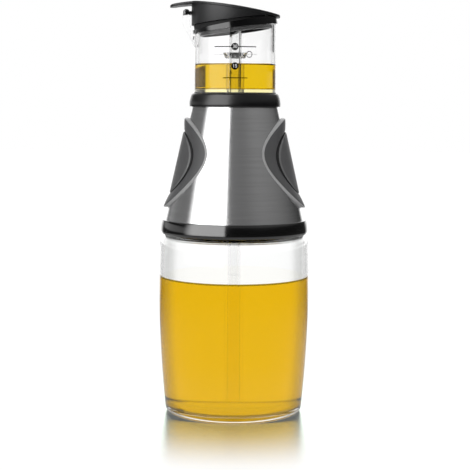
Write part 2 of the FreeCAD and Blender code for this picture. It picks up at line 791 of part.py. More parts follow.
def chamber_seal():
    body = new_body("chamber_seal")
    section = outline(body, "seal_section", [
        ("chamber_spigot_radius + push_fit", "ring_top"),
        ("chamber_radius", "ring_top"),
        ("chamber_radius", "ring_top + seal_height"),
        ("chamber_spigot_radius + push_fit", "ring_top + seal_height"),
    ])
    turned(body, section)
    return finished("chamber_seal", body)


def measuring_chamber():
    """Clear cup, open at the top, with a slanted rim, a spigot below and two hinge ears at the low side."""
    body = new_body("measuring_chamber")
    bore = "chamber_radius - chamber_wall"
    tall = "rim_height + chamber_radius"
    spigot_foot = "core_top + ring_plate + chamber_spigot_gap"
    section = outline(body, "chamber_section", [
        ("tube_radius + push_fit", "chamber_foot - chamber_boss"),
        ("tube_radius + chamber_spigot_wall", "chamber_foot - chamber_boss"),
        ("tube_radius + chamber_spigot_wall", "chamber_foot"),
        ("chamber_spigot_radius - chamber_spigot_wall", "chamber_foot"),
        ("chamber_spigot_radius - chamber_spigot_wall", spigot_foot),
        ("chamber_spigot_radius", spigot_foot),
        ("chamber_spigot_radius", "chamber_foot"),
        ("chamber_radius", "chamber_foot"),
        ("chamber_radius", tall),
        (bore, tall),
        (bore, "chamber_floor_top + chamber_floor_round", "-chamber_floor_round"),
        (f"{bore} - chamber_floor_round", "chamber_floor_top"),
        ("tube_radius + push_fit", "chamber_floor_top"),
    ])
    turned(body, section)
    slant = rectangle(body, "chamber_slant", "-2 * chamber_radius", "2 * chamber_radius", "chamber_radius",
                      plane=XZ, lift="rim_height + chamber_radius / cos(rim_tilt)", turn="rim_tilt")
    pocketed(body, slant, both=True)
    ears = outline(body, "ear_outline", [
        ("-chamber_radius + ear_bite", "ear_root_height"),
        ("-chamber_radius + ear_bite", "ear_inside_height"),
        ("-pourer_radius - 2 * ear_gap", "ear_inside_height"),
        ("-hinge_x + ear_radius", "ear_elbow_height"),
        ("-hinge_x + ear_radius", "hinge_height", "ear_radius"),
        ("-hinge_x", "hinge_height + ear_radius", "ear_radius"),
        ("-hinge_x - ear_radius", "hinge_height"),
        ("-hinge_x - ear_radius", "ear_elbow_height"),
    ])
    padded(body, ears, "2 * (knuckle_half_width + ear_gap + ear_width)", both=True)
    between = rectangle(body, "ear_slot", "-hinge_x - 2 * ear_radius", "-chamber_radius - ear_gap",
                        "knuckle_half_width + ear_gap", lift="ear_root_height - ear_radius")
    pocketed(body, between, "3 * ear_radius + hinge_height - ear_root_height", up=True)
    bore_sketch = circle(body, "ear_bore", "hinge_pin_radius", "-hinge_x", "hinge_height", plane=XZ)
    pocketed(body, bore_sketch, both=True)
    return finished("measuring_chamber", body)


def chamber_oil():
    body = new_body("chamber_oil")
    bore = "chamber_radius - chamber_wall - liquid_clearance"
    foot = "chamber_floor_top + liquid_clearance"
    section = outline(body, "chamber_oil_section", [
        ("tube_radius + liquid_clearance", foot),
        (f"{bore} - chamber_floor_round", foot, "chamber_floor_round"),
        (bore, f"{foot} + chamber_floor_round"),
        (bore, "chamber_oil_level"),
        ("tube_radius + liquid_clearance", "chamber_oil_level"),
    ])
    turned(body, section)
    return finished("chamber_oil", body)


# Pour collar: it plugs the slanted rim. Its radii are about the rim's tilted axis, its heights above the rim.
def pour_collar():
    body = new_body("pour_collar")
    tall = "pourer_radius"
    bore = "pourer_bore"
    band = outline(body, "pourer_band_section", [
        (bore, "pourer_seat_gap"),
        ("pourer_radius", "pourer_seat_gap"),
        ("pourer_radius", tall),
        (bore, tall),
    ], lift="rim_height", turn="rim_tilt")
    turned(body, band)
    above = rectangle(body, "pourer_band_top", "-2 * pourer_radius", "2 * pourer_radius", "pourer_radius",
                      plane=XZ, lift="rim_height + pourer_band + pourer_radius / cos(pourer_band_tilt)",
                      turn="pourer_band_tilt")
    pocketed(body, above, both=True)
    neck = outline(body, "pourer_neck_section", [
        ("0", "deck_foot"),
        (bore, "deck_foot"),
        (bore, "-pourer_spigot_length"),
        ("pourer_spigot_radius", "-pourer_spigot_length"),
        ("pourer_spigot_radius", "pourer_seat_gap + pourer_step"),
        ("pourer_neck_radius", "pourer_seat_gap + pourer_step"),
        ("pourer_neck_radius", "lid_foot - lid_gap"),
        (bore, "lid_foot - lid_gap"),
        (bore, "deck_top"),
        ("0", "deck_top"),
    ], lift="rim_height", turn="rim_tilt")
    turned(body, neck)
    boss = outline(body, "deck_boss_section", [
        ("0", "deck_foot - deck_boss_depth"),
        ("deck_boss_radius", "deck_foot - deck_boss_depth"),
        ("deck_boss_radius", "(deck_foot + deck_top) / 2"),
        ("0", "(deck_foot + deck_top) / 2"),
    ], lift="rim_height", turn="rim_tilt")
    turned(body, boss)
    below = "rim_height - pourer_radius"
    slot = rectangle(body, "pour_slot", "slot_near", "slot_far", "slot_half_width", lift=below)
    pocketed(body, slot, "2 * pourer_radius", up=True)
    vent = circle(body, "vent_hole", "vent_radius", "-vent_x", "0", lift=below)
    pocketed(body, vent, "2 * pourer_radius", up=True)
    spout = outline(body, "spout_cut", [
        ("spout_near", "deck_top"),
        ("2 * pourer_radius", "deck_top"),
        ("2 * pourer_radius", "pourer_radius"),
        ("spout_near", "pourer_radius"),
    ], lift="rim_height", turn="rim_tilt")
    pocketed(body, spout, "2 * spout_half_width", both=True)
    under_lid = crown("collar_top_limit", "lid_plate + lid_gap")
    return finished("pour_collar", common("pour_collar_trimmed", body, under_lid))


# Lid: a wedge under a thin crowned plate, with a thumb tongue over its hinge knuckle.
def crown(name, drop):
    """Large sphere whose top is the lid's crowned, sloping upper face, lowered by a drop."""
    sphere = doc.addObject("Part::Sphere", name)
    bind(sphere, "Radius", f"lid_crown_round - ({drop})")
    sphere.Placement = FreeCAD.Placement(FreeCAD.Vector(), FreeCAD.Rotation(FreeCAD.Vector(1, 0, 0), 90))
    bind(sphere, "Placement.Base.x", "-lid_crown_round * sin(lid_slope)")
    bind(sphere, "Placement.Base.z", "lid_top_height - lid_crown_round * cos(lid_slope)")
    return sphere


def disc(name, radius, low, high):
    """Upright cylinder on the main axis between two heights."""
    cylinder = doc.addObject("Part::Cylinder", name)
    bind(cylinder, "Radius", radius)
    bind(cylinder, "Height", f"({high}) - ({low})")
    bind(cylinder, "Placement.Base.z", low)
    return cylinder


def slab(name, corners, width, plane=XZ, lift=None, turn=None):
    """Prism of an outline: from XZ it spans its width evenly about the middle, from XY it runs up."""
    body = new_body(name)
    sketch = outline(body, name + "_outline", corners, plane, lift, turn)
    padded(body, sketch, width, both=plane == XZ)
    return body


def below_lid(name, height):
    """Block below a plane that is parallel to the rim, at a height above it."""
    far = "2 * chamber_radius"
    return slab(name, [
        (f"-{far}", f"-{far}"), (far, f"-{far}"), (far, height), (f"-{far}", height),
    ], "4 * chamber_radius", lift="rim_height", turn="rim_tilt")


def lid_tongue():
    """Thin thumb plate that leaves the lid's top and bends down towards its rounded tip."""
    tip, root = "-tongue_tip_x", "-tongue_root_x"
    side = slab("tongue_side", [
        (tip, "tongue_tip_height - tongue_thickness", "-tongue_round"),
        (root, "tongue_root_height - tongue_thickness"),
        (root, "tongue_root_height", "tongue_round"),
        (tip, "tongue_tip_height"),
    ], "2 * tongue_half_width")
    corner = "-tongue_tip_x + tongue_tip_bow"
    tip_round = "(tongue_tip_half_width ^ 2 / tongue_tip_bow + tongue_tip_bow) / 2"
    plan = slab("tongue_plan", [
        (root, "-tongue_half_width"),
        (root, "tongue_half_width"),
        ("-lid_plate_radius", "tongue_half_width"),
        (corner, "tongue_tip_half_width", tip_round),
        (corner, "-tongue_tip_half_width"),
        ("-lid_plate_radius", "-tongue_half_width"),
    ], "2 * tongue_half_width", plane=XY, lift="rim_height")
    return common("tongue_blank", side, plan)


def hinge_knuckle():
    """Barrel on the hinge axis, with a web to the lid's back wall."""
    body = new_body("knuckle")
    barrel = circle(body, "knuckle_barrel", "knuckle_radius", "-hinge_x", "hinge_height", plane=XZ)
    padded(body, barrel, "2 * knuckle_half_width", both=True)
    web = rectangle(body, "knuckle_web", "-hinge_x", "-lid_radius + lid_wall / 2", "knuckle_web_half",
                    plane=XZ, lift="hinge_height")
    padded(body, web, "2 * knuckle_half_width", both=True)
    return body


def flip_lid():
    low, high = "rim_height - lid_foot", "lid_top_height + lid_radius"
    room_radius = "lid_radius - lid_wall"
    wall_disc = disc("lid_wall_disc", "lid_radius", low, high)
    wall = common("lid_wall_blank", wall_disc, crown("lid_wall_top", "lid_wall_drop"))
    room_disc = disc("lid_room_disc", room_radius, "rim_height - 2 * lid_foot", high)
    room = common("lid_room", room_disc, crown("lid_roof", "lid_roof"))
    cup = cut("lid_cup", cut("lid_wall_cut", wall, below_lid("lid_foot_cut", "lid_foot")), room)
    top = common("lid_top_blank", disc("lid_top_disc", "lid_plate_radius", low, high), crown("lid_top", "0"))
    plate = cut("lid_plate_cut", top, crown("lid_plate_under", "lid_plate"))
    tongue = cut("tongue_cut", lid_tongue(), room)
    solid = fused("lid_solid", cup, plate, tongue, hinge_knuckle())
    pin_bore = doc.addObject("Part::Cylinder", "lid_pin_bore")
    bind(pin_bore, "Radius", "hinge_pin_radius + hinge_running_gap")
    lay_along_y(pin_bore, "2 * (knuckle_half_width + ear_gap)")
    return finished("flip_lid", cut("flip_lid_cut", solid, pin_bore))


def lay_along_y(cylinder, length):
    """Lay a cylinder on the hinge axis, evenly about the middle."""
    bind(cylinder, "Height", length)
    cylinder.Placement = FreeCAD.Placement(FreeCAD.Vector(), FreeCAD.Rotation(FreeCAD.Vector(1, 0, 0), -90))
    bind(cylinder, "Placement.Base.x", "-hinge_x")
    bind(cylinder, "Placement.Base.y", f"-({length}) / 2")
    bind(cylinder, "Placement.Base.z", "hinge_height")


def hinge_pin():
    pin = doc.addObject("Part::Cylinder", "hinge_pin")
    bind(pin, "Radius", "hinge_pin_radius")
    lay_along_y(pin, "2 * (knuckle_half_width + ear_gap + ear_width)")
    return finished("hinge_pin", pin)


def lid_plug():
    """Soft block under the lid's roof that closes the pour slot."""
    column = slab("plug_column", [
        ("plug_near", "-plug_half_width"), ("plug_far", "-plug_half_width"),
        ("plug_far", "plug_half_width"), ("plug_near", "plug_half_width"),
    ], "2 * plug_far", plane=XY, lift="rim_height")
    under = common("plug_under_roof", column, crown("plug_roof", "lid_roof"))
    return finished("lid_plug", cut("lid_plug_cut", under, below_lid("plug_foot_cut", "deck_top + plug_gap")))


def check_and_export():
    """Stop if any object failed or any sub-part is not one valid solid, else write the sub-parts."""
    doc.recompute()
    failed = [obj.Name for obj in doc.Objects if {"Invalid", "Error"} & set(obj.State)]
    if failed:
        raise RuntimeError("failed objects: " + ", ".join(failed))
    for label, piece in pieces:
        if piece.Shape.isNull() or not piece.Shape.isValid() or len(piece.Shape.Solids) != 1:
            raise RuntimeError(f"{label} is not one valid solid")
    os.makedirs("parts", exist_ok=True)
    for label, piece in pieces:
        piece.Shape.exportStep(f"parts/{label}.step")
        print(f"{label}: {piece.Shape.Volume / 1000:.3f} cm3")


glass_bottle()
bottle_oil()
neck_gasket()
screw_collar()
steel_sleeve()
head_core()
grips()
suction_tube()
tube_joiner()
standpipe()
splash_disc()
top_ring()
chamber_seal()
measuring_chamber()
chamber_oil()
pour_collar()
flip_lid()
lid_plug()
hinge_pin()
check_and_export()
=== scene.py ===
"""Oil dispenser: glass jar, steel pump cone with side grips, clear measuring cup and flip-up pouring lid."""

import logging
import math
from collections.abc import Callable, Sequence
from dataclasses import dataclass, field
from enum import Enum

import bmesh
import bpy
from mathutils import Matrix, Vector


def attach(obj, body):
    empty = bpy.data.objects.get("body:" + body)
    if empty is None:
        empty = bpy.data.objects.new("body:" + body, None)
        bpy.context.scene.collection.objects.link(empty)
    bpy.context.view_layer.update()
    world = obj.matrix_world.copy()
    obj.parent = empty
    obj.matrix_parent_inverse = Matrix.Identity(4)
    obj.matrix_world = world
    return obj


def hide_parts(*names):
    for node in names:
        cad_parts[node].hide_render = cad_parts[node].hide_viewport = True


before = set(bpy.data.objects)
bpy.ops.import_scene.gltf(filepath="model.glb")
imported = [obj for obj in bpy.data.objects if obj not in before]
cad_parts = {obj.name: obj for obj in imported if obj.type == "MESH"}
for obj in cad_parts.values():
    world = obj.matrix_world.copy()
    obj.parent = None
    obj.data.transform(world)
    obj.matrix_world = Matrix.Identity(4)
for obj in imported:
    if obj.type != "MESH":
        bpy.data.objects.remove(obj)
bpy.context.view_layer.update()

log = logging.getLogger("oil_dispenser")
MILLIMETRE = 0.001
Solid = bmesh.types.BMesh
Face = bmesh.types.BMFace
Edge = bmesh.types.BMEdge
Vert = bmesh.types.BMVert
Material = bpy.types.Material
Node = bpy.types.Node
Socket = bpy.types.NodeSocket
Pair = tuple[float, float]
Point = tuple[float, float, float]
Corner = tuple[float, ...]
Colour = tuple[float, float, float, float]
WHITE = (1, 1, 1, 1)


class Body(Enum):
    """Moving bodies that the pieces ride on."""

    BOTTLE = "bottle"
    HEAD = "head"
    RIGHT_BUTTON = "right_button"
    LEFT_BUTTON = "left_button"
    LID = "lid"


class Side(Enum):
    """The two squeeze sides of the head."""

    RIGHT = 1
    LEFT = -1

    @property
    def word(self) -> str:
        """Lower-case name of the side."""
        return self.name.lower()


# Finishes


class Recipe:
    """A small node tree for one material, or for the world."""

    def __init__(self, name: str, world: bool = False) -> None:
        """Start an empty tree.

        Args:
            name: Name of the material or world.
            world: True makes a world.
        """
        self.owner = bpy.data.worlds.new(name) if world else bpy.data.materials.new(name)
        self.owner.use_nodes = True
        self.nodes, self.links = self.owner.node_tree.nodes, self.owner.node_tree.links
        self.nodes.clear()
        self.output = self.add("OutputWorld" if world else "OutputMaterial")

    def add(self, kind: str, links: dict[str, object] | None = None, **settings: object) -> Node:
        """Add a node.

        Args:
            kind: Node type without its "ShaderNode" start.
            links: Socket name or number to a value, or to the output socket that feeds it.
            **settings: Node properties.

        Returns:
            The new node.
        """
        node = self.nodes.new("ShaderNode" + kind)
        for key, setting in settings.items():
            setattr(node, key, setting)
        for name, source in (links or {}).items():
            socket = node.inputs[int(name)] if name.isdigit() else node.inputs[name]
            if isinstance(source, Socket):
                self.links.new(source, socket)
            else:
                socket.default_value = source
        return node

    def place(self, scale: Point = (1, 1, 1)) -> Socket:
        """Object coordinates, stretched by a scale along each axis."""
        here = self.add("TexCoord").outputs["Object"]
        return self.add("Mapping", {"Vector": here, "Scale": scale}).outputs["Vector"]

    def noise(self, scale: float, detail: float = 3, stretch: Point = (1, 1, 1)) -> Socket:
        """Noise on object coordinates.

        Args:
            scale: Pattern scale, per metre.
            detail: Octaves.
            stretch: Scale along each axis.

        Returns:
            The factor socket, 0 to 1.
        """
        links = {"Vector": self.place(stretch), "Scale": scale, "Detail": detail}
        return self.add("TexNoise", links).outputs["Fac"]

    def between(self, factor: Socket, low: float, high: float) -> Socket:
        """Map a factor from 0..1 to the range from low to high."""
        return self.add("MapRange", {"Value": factor, "To Min": low, "To Max": high}).outputs["Result"]

    def step(self, value: Socket, reach: Pair, low: float, high: float) -> Socket:
        """Soft step of a value.

        Args:
            value: The value's socket.
            reach: Where the step starts and ends.
            low: Level before the step.
            high: Level after it.

        Returns:
            The level.
        """
        links = {"Value": value, "From Min": reach[0], "From Max": reach[1], "To Min": low, "To Max": high}
        return self.add("MapRange", links, interpolation_type="SMOOTHSTEP").outputs["Result"]

    def sum(self, kind: str, first: Socket, second: object, clamp: bool = False) -> Socket:
        """Join two values.

        Args:
            kind: Kind of sum, such as MULTIPLY.
            first: The first value's socket.
            second: The second value, or its socket.
            clamp: True holds the result between 0 and 1.

        Returns:
            The result.
        """
        return self.add("Math", {"0": first, "1": second}, operation=kind, use_clamp=clamp).outputs[0]

    def choose(self, factor: Socket, first: object, second: object) -> Socket:
        """Take the second value where the factor is one, else the first."""
        return self.add("Mix", {"0": factor, "2": first, "3": second}).outputs[0]

    def blend(self, factor: Socket, first: Colour, second: Colour) -> Socket:
        """Mix two colours: the first where the factor is 0, the second where it is 1."""
        return self.add("Mix", {"0": factor, "6": first, "7": second}, data_type="RGBA").outputs[2]

    def bump(self, height: Socket, strength: float, depth: float) -> Socket:
        """Turn a height into a normal.

        Args:
            height: The height socket.
            strength: How strong the bump is, 0 to 1.
            depth: Depth of the relief in millimetres.

        Returns:
            The normal socket.
        """
        links = {"Height": height, "Strength": strength, "Distance": depth * MILLIMETRE}
        return self.add("Bump", links).outputs["Normal"]

    def glow(self, strength: object) -> Node:
        """White light of a strength, which may be a socket."""
        return self.add("Emission", {"Color": WHITE, "Strength": strength})

    def mix(self, factor: object, first: Node, second: Node) -> Node:
        """Mix two shaders: the first where the factor is 0, the second where it is 1."""
        return self.add("MixShader", {"0": factor, "1": first.outputs[0], "2": second.outputs[0]})

    def finish(self, shader: Node) -> Material | bpy.types.World:
        """Connect the last shader to the output and return the material or world."""
        self.links.new(shader.outputs[0], self.output.inputs["Surface"])
        return self.owner


@dataclass(frozen=True)
class ClearFinish:
    """Glass, oil or clear plastic: it bends light, and lets the lamps' light through in its own tint.

    Its colour is the middle one where it faces the eye and the edge one in a band near its outline. The edge
    colour is painted shade: a darker band that stands in for dark surroundings seen through the clear part.
    """

    name: str
    middle: Colour
    edge: Colour
    tint: Colour
    bending: float = 1.45
    cloud: float = 0.0
    rim: Pair = (0.5, 1.0)
    edge_shade_end: Pair = (1.0, 1.1)
    gloss: float = 0.5
    glint: float = 1.0
    roughness: float = 0.0
    mirror: float = 0.0
    mirror_rim: Pair = (0.70, 0.85)
    waviness: float = 0.05

    def make(self) -> Material:
        """Build the material.

        Returns:
            The clear material.
        """
        recipe = Recipe(self.name)
        facing = recipe.add("LayerWeight", {"Blend": 0.5}).outputs["Facing"]
        # Painted shade: by facing, the edge colour is blended in near the outline, standing in for dark
        # surroundings seen through the part.
        start, end = recipe.step(facing, self.rim, 0.0, 1.0), recipe.step(facing, self.edge_shade_end, 1.0, 0.0)
        colour = recipe.blend(recipe.sum("MULTIPLY", start, end), self.middle, self.edge)
        if self.cloud:
            drift = recipe.between(recipe.noise(28, 2, (1, 1, 0.5)), 1 - self.cloud, 1 + self.cloud)
            scaled = recipe.add("VectorMath", {"0": colour, "Scale": drift}, operation="SCALE")
            colour = scaled.outputs["Vector"]
        clear = recipe.add("BsdfPrincipled", {
            "Base Color": colour,
            "Metallic": recipe.step(facing, self.mirror_rim, 0.0, self.mirror) if self.mirror else 0.0,
            "Roughness": self.roughness,
            "IOR": self.bending,
            "Specular IOR Level": self.gloss,
            "Specular Tint": (self.glint, self.glint, self.glint, 1),
            "Transmission Weight": 1.0,
            "Normal": recipe.bump(recipe.noise(60, 1), self.waviness, 0.05),
        })
        through = recipe.add("BsdfTransparent", {"Color": self.tint})
        return recipe.finish(recipe.mix(recipe.add("LightPath").outputs["Is Shadow Ray"], clear, through))


@dataclass(frozen=True)
class PlasticFinish:
    """Moulded plastic or rubber: slight blotches of shade, a fine grain and an uneven sheen."""

    name: str
    dark: Colour
    light: Colour
    roughness: Pair
    grain: float
    grain_depth: float
    coat: float = 0.0
    sheen: float = 0.0
    gloss: float = 0.5

    def make(self) -> Material:
        """Build the material.

        Returns:
            The plastic material.
        """
        recipe = Recipe(self.name)
        blotch = recipe.noise(45, 4)
        fine = recipe.noise(self.grain, 2)
        plastic = recipe.add("BsdfPrincipled", {
            "Base Color": recipe.blend(blotch, self.dark, self.light),
            "Roughness": recipe.between(recipe.noise(160, 3), *self.roughness),
            "Normal": recipe.bump(fine, 0.35, self.grain_depth),
            "Specular IOR Level": self.gloss,
            "Coat Weight": self.coat,
            "Coat Roughness": 0.08,
            "Sheen Weight": self.sheen,
        })
        return recipe.finish(plastic)


@dataclass(frozen=True)
class BrushedSteelFinish:
    """Steel with fine brush lines round the vertical axis."""

    name: str
    dark: Colour
    light: Colour
    roughness: Pair = (0.23, 0.27)
    brushing: float = 0.92

    def make(self) -> Material:
        """Build the material.

        Returns:
            The brushed steel material.
        """
        recipe = Recipe(self.name)
        lines = recipe.noise(28, 4, (1, 1, 42))
        wide = recipe.noise(9, 3, (1, 1, 12))
        tangent = recipe.add("Tangent", direction_type="RADIAL", axis="Z").outputs["Tangent"]
        steel = recipe.add("BsdfPrincipled", {
            "Base Color": recipe.blend(lines, self.dark, self.light),
            "Metallic": 1.0,
            "Roughness": recipe.between(wide, *self.roughness),
            "Anisotropic": self.brushing,
            "Anisotropic Rotation": 0.25,
            "Tangent": tangent,
            "Normal": recipe.bump(lines, 0.06, 0.006),
        })
        return recipe.finish(steel)


@dataclass(frozen=True)
class BrightMetalFinish:
    """Polished pin steel with faint turning marks."""

    name: str
    colour: Colour
    roughness: Pair = (0.12, 0.25)

    def make(self) -> Material:
        """Build the material.

        Returns:
            The polished metal material.
        """
        recipe = Recipe(self.name)
        marks = recipe.noise(400, 3, (1, 0.2, 1))
        metal = recipe.add("BsdfPrincipled", {
            "Base Color": self.colour,
            "Metallic": 1.0,
            "Roughness": recipe.between(marks, *self.roughness),
            "Normal": recipe.bump(marks, 0.1, 0.01),
        })
        return recipe.finish(metal)


# The edge colours below are painted shade: darker bands near the outline for dark surroundings seen through
# glass, oil and plastic. On the oil surface the edge colour is a slightly paler painted rim.
GLASS = ClearFinish(
    "jar_glass", (0.998, 1, 0.998, 1), (0.66, 0.665, 0.66, 1), (0.93, 0.93, 0.92, 1), rim=(0.36, 0.58),
    edge_shade_end=(0.70, 0.85), gloss=0.05, glint=0.35)
JAR_OIL = ClearFinish(
    "jar_oil", (0.80, 0.465, 0.004, 1), (0.43, 0.255, 0.002, 1), (0.93, 0.80, 0.45, 1), 1.47, cloud=0.03,
    rim=(0.2, 0.36), gloss=0.02, glint=0.35)
CUP_OIL = ClearFinish(
    "cup_oil", (0.83, 0.535, 0.002, 1), (0.38, 0.22, 0.002, 1), (0.93, 0.80, 0.45, 1), 1.47, cloud=0.03,
    rim=(0.24, 0.36), gloss=0.03)
PAINTED_SHADE_LINE = ClearFinish(
    "painted_shade_line", (0.16, 0.11, 0.004, 1), (0.10, 0.07, 0.003, 1), (0.93, 0.80, 0.45, 1), 1.47, rim=(0.2, 0.36),
    gloss=0.02, glint=0.35)
OIL_SURFACE = ClearFinish(
    "oil_surface", (0.99, 0.96, 0.85, 1), (0.99, 0.98, 0.94, 1), (1, 1, 1, 1), 1.47, mirror=1.0)
CLEAR_PLASTIC = ClearFinish(
    "clear_plastic", (0.995, 0.995, 0.995, 1), (0.62, 0.62, 0.62, 1), (0.92, 0.92, 0.92, 1), 1.46,
    rim=(0.55, 0.8), gloss=0.08, glint=0.55, roughness=0.03)
PAINTED_OIL_GLOW = ClearFinish(
    "painted_oil_glow_plastic", (0.97, 0.88, 0.42, 1), (0.7, 0.6, 0.25, 1), (0.95, 0.88, 0.6, 1), 1.46,
    rim=(0.6, 0.9), gloss=0.12)
CLEAR_TUBE = ClearFinish(
    "clear_tube", (0.95, 0.95, 0.95, 1), (0.6, 0.6, 0.6, 1), (0.92, 0.92, 0.92, 1), 1.46,
    rim=(0.6, 0.9), gloss=0.12)
WET_TUBE = ClearFinish("wet_tube", (0.99, 0.98, 0.93, 1), (0.93, 0.9, 0.8, 1), (0.95, 0.93, 0.85, 1), 1.03)
BLACK_GLOSS = PlasticFinish(
    "black_gloss", (0.0015, 0.0015, 0.0016, 1), (0.003, 0.003, 0.0032, 1), (0.10, 0.15), 900, 0.003, coat=0.4,
    gloss=0.75)
BLACK_POLISH = PlasticFinish(
    "black_polish", (0.002, 0.002, 0.0022, 1), (0.004, 0.004, 0.0043, 1), (0.10, 0.15), 900, 0.003, gloss=0.6)
BLACK_SATIN = PlasticFinish(
    "black_satin", (0.003, 0.003, 0.0033, 1), (0.005, 0.005, 0.0055, 1), (0.26, 0.34), 1200, 0.006, gloss=0.5)
LID_GREY = PlasticFinish(
    "lid_grey", (0.008, 0.008, 0.0086, 1), (0.011, 0.011, 0.0118, 1), (0.42, 0.5), 1500, 0.015, gloss=0.42)
GRIP_GREY = PlasticFinish(
    "grip_grey", (0.078, 0.078, 0.08, 1), (0.09, 0.09, 0.092, 1), (0.46, 0.54), 1400, 0.02, gloss=0.3)
# Painted highlights: lighter greys for the grip's outer edge and the button's rolled edge, where light
# catches them.
GRIP_PAINTED_HIGHLIGHT = PlasticFinish(
    "grip_edge", (0.33, 0.33, 0.332, 1), (0.38, 0.38, 0.382, 1), (0.3, 0.36), 1400, 0.01, gloss=0.4)
BUTTON_PAINTED_HIGHLIGHT = PlasticFinish(
    "button_edge", (0.13, 0.13, 0.132, 1), (0.15, 0.15, 0.152, 1), (0.4, 0.46), 1400, 0.01, gloss=0.4)
# Painted shade: near black for walls in gaps and under the lid, where shade falls.
PAINTED_GAP_SHADE = PlasticFinish(
    "painted_gap_shade", (0.014, 0.014, 0.0142, 1), (0.018, 0.018, 0.0182, 1), (0.6, 0.7), 1400, 0.01, gloss=0.2)
BUTTON_GREY = PlasticFinish(
    "button_grey", (0.085, 0.085, 0.087, 1), (0.098, 0.098, 0.1, 1), (0.44, 0.52), 1400, 0.02, gloss=0.3)
SILICONE = PlasticFinish(
    "silicone", (0.05, 0.05, 0.051, 1), (0.07, 0.07, 0.071, 1), (0.55, 0.7), 700, 0.02, sheen=0.2)
INNER_BLACK = PlasticFinish(
    "inner_black", (0.008, 0.008, 0.0085, 1), (0.012, 0.012, 0.0125, 1), (0.3, 0.45), 900, 0.02)
BRUSHED_STEEL = BrushedSteelFinish("brushed_steel", (0.53, 0.53, 0.533, 1), (0.67, 0.67, 0.673, 1))
PIN_STEEL = BrightMetalFinish("pin_steel", (0.62, 0.62, 0.63, 1))
PRINT_BLACK = PlasticFinish(
    "print_black", (0.002, 0.002, 0.002, 1), (0.003, 0.003, 0.003, 1), (0.5, 0.6), 2500, 0.005, gloss=0.05)
PRINT_GREY = PlasticFinish("print_grey", (0.25, 0.22, 0.27, 1), (0.3, 0.27, 0.32, 1), (0.4, 0.5), 2500, 0.005)
PRINT_WHITE = PlasticFinish(
    "print_white", (0.80, 0.80, 0.80, 1), (0.86, 0.86, 0.86, 1), (0.5, 0.6), 2500, 0.005)


# Shapes


def swept_arc(bm: Solid, last: Vert, target: Corner, radius: float) -> Vert:
    """Sweep a vertex along an arc in the XZ plane.

    Args:
        bm: The mesh being drawn.
        last: The vertex that the arc starts from.
        target: Radius and height where it ends, in millimetres.
        radius: Arc radius. Positive bulges to the right of the way, negative to the left.

    Returns:
        The vertex at the arc's end.
    """
    start, stop = last.co.copy(), Vector((target[0], 0, target[1]))
    side = 1 if radius > 0 else -1
    chord = stop - start
    left = Vector((-chord.z, 0, chord.x)).normalized() * side
    rise = math.sqrt(max(radius ** 2 - (chord.length / 2) ** 2, 0))
    angle = 2 * math.asin(min(chord.length / 2 / abs(radius), 1))
    steps = max(4, math.ceil(chord.length / 2.5))
    swept = bmesh.ops.spin(
        bm, geom=[last], cent=(start + stop) / 2 + left * rise, axis=(0, -side, 0), dvec=(0, 0, 0),
        angle=angle, steps=steps, use_merge=False, use_duplicate=False)
    return next(item for item in swept["geom_last"] if isinstance(item, Vert))


def everything(bm: Solid) -> list[Vert | Edge | Face]:
    """All corners, edges and faces of a solid."""
    return bm.verts[:] + bm.edges[:] + bm.faces[:]


def shift(bm: Solid, way: Point) -> None:
    """Move a solid."""
    bmesh.ops.translate(bm, vec=way, verts=bm.verts)


def rotate(bm: Solid, degrees: float, axis: str) -> None:
    """Turn a solid about an axis through the origin."""
    matrix = Matrix.Rotation(math.radians(degrees), 3, axis)
    bmesh.ops.rotate(bm, cent=(0, 0, 0), matrix=matrix, verts=bm.verts)


def double(bm: Solid) -> None:
    """Mirror a solid to the other side of the XZ plane and keep both."""
    bmesh.ops.mirror(bm, geom=everything(bm), axis="Y", merge_dist=0)
    bmesh.ops.recalc_face_normals(bm, faces=bm.faces)


def turned(corners: Sequence[Corner], steps: int = 144) -> Solid:
    """Turn a closed outline about the Z axis.

    Args:
        corners: (radius, height) or (radius, height, arc radius), the arc running to the next corner.
        steps: Steps round the axis.

    Returns:
        The closed solid, in millimetres.
    """
    bm = bmesh.new()
    first = last = bm.verts.new((corners[0][0], 0, corners[0][1]))
    for index, corner in enumerate(corners):
        target = corners[(index + 1) % len(corners)]
        closing = index == len(corners) - 1
        if len(corner) == 3:
            last = swept_arc(bm, last, target, corner[2])
        elif closing:
            bm.edges.new((last, first))
        else:
            vert = bm.verts.new((target[0], 0, target[1]))
            bm.edges.new((last, vert))
            last = vert
    bmesh.ops.spin(
        bm, geom=bm.verts[:] + bm.edges[:], cent=(0, 0, 0), axis=(0, 0, 1), dvec=(0, 0, 0), angle=2 * math.pi,
        steps=steps, use_merge=True, use_duplicate=False)
    tidy(bm)
    return bm


def tidy(bm: Solid) -> None:
    """Merge doubles, drop empty faces and turn all faces outwards.

    Args:
        bm: The mesh, in millimetres.
    """
    bmesh.ops.remove_doubles(bm, verts=bm.verts, dist=1e-4)
    bmesh.ops.dissolve_degenerate(bm, dist=1e-4, edges=bm.edges)
    bmesh.ops.recalc_face_normals(bm, faces=bm.faces)


def slice_off(bm: Solid, place: Point, normal: Point) -> None:
    """Cut off what lies past a plane and close the ring that is left.

    Args:
        bm: The solid, in millimetres.
        place: A point on the plane.
        normal: The plane's normal, towards what goes.
    """
    cut = bmesh.ops.bisect_plane(
        bm, geom=everything(bm), dist=1e-4, plane_co=place, plane_no=normal, clear_outer=True)
    bmesh.ops.bridge_loops(bm, edges=[item for item in cut["geom_cut"] if isinstance(item, Edge)])
    tidy(bm)


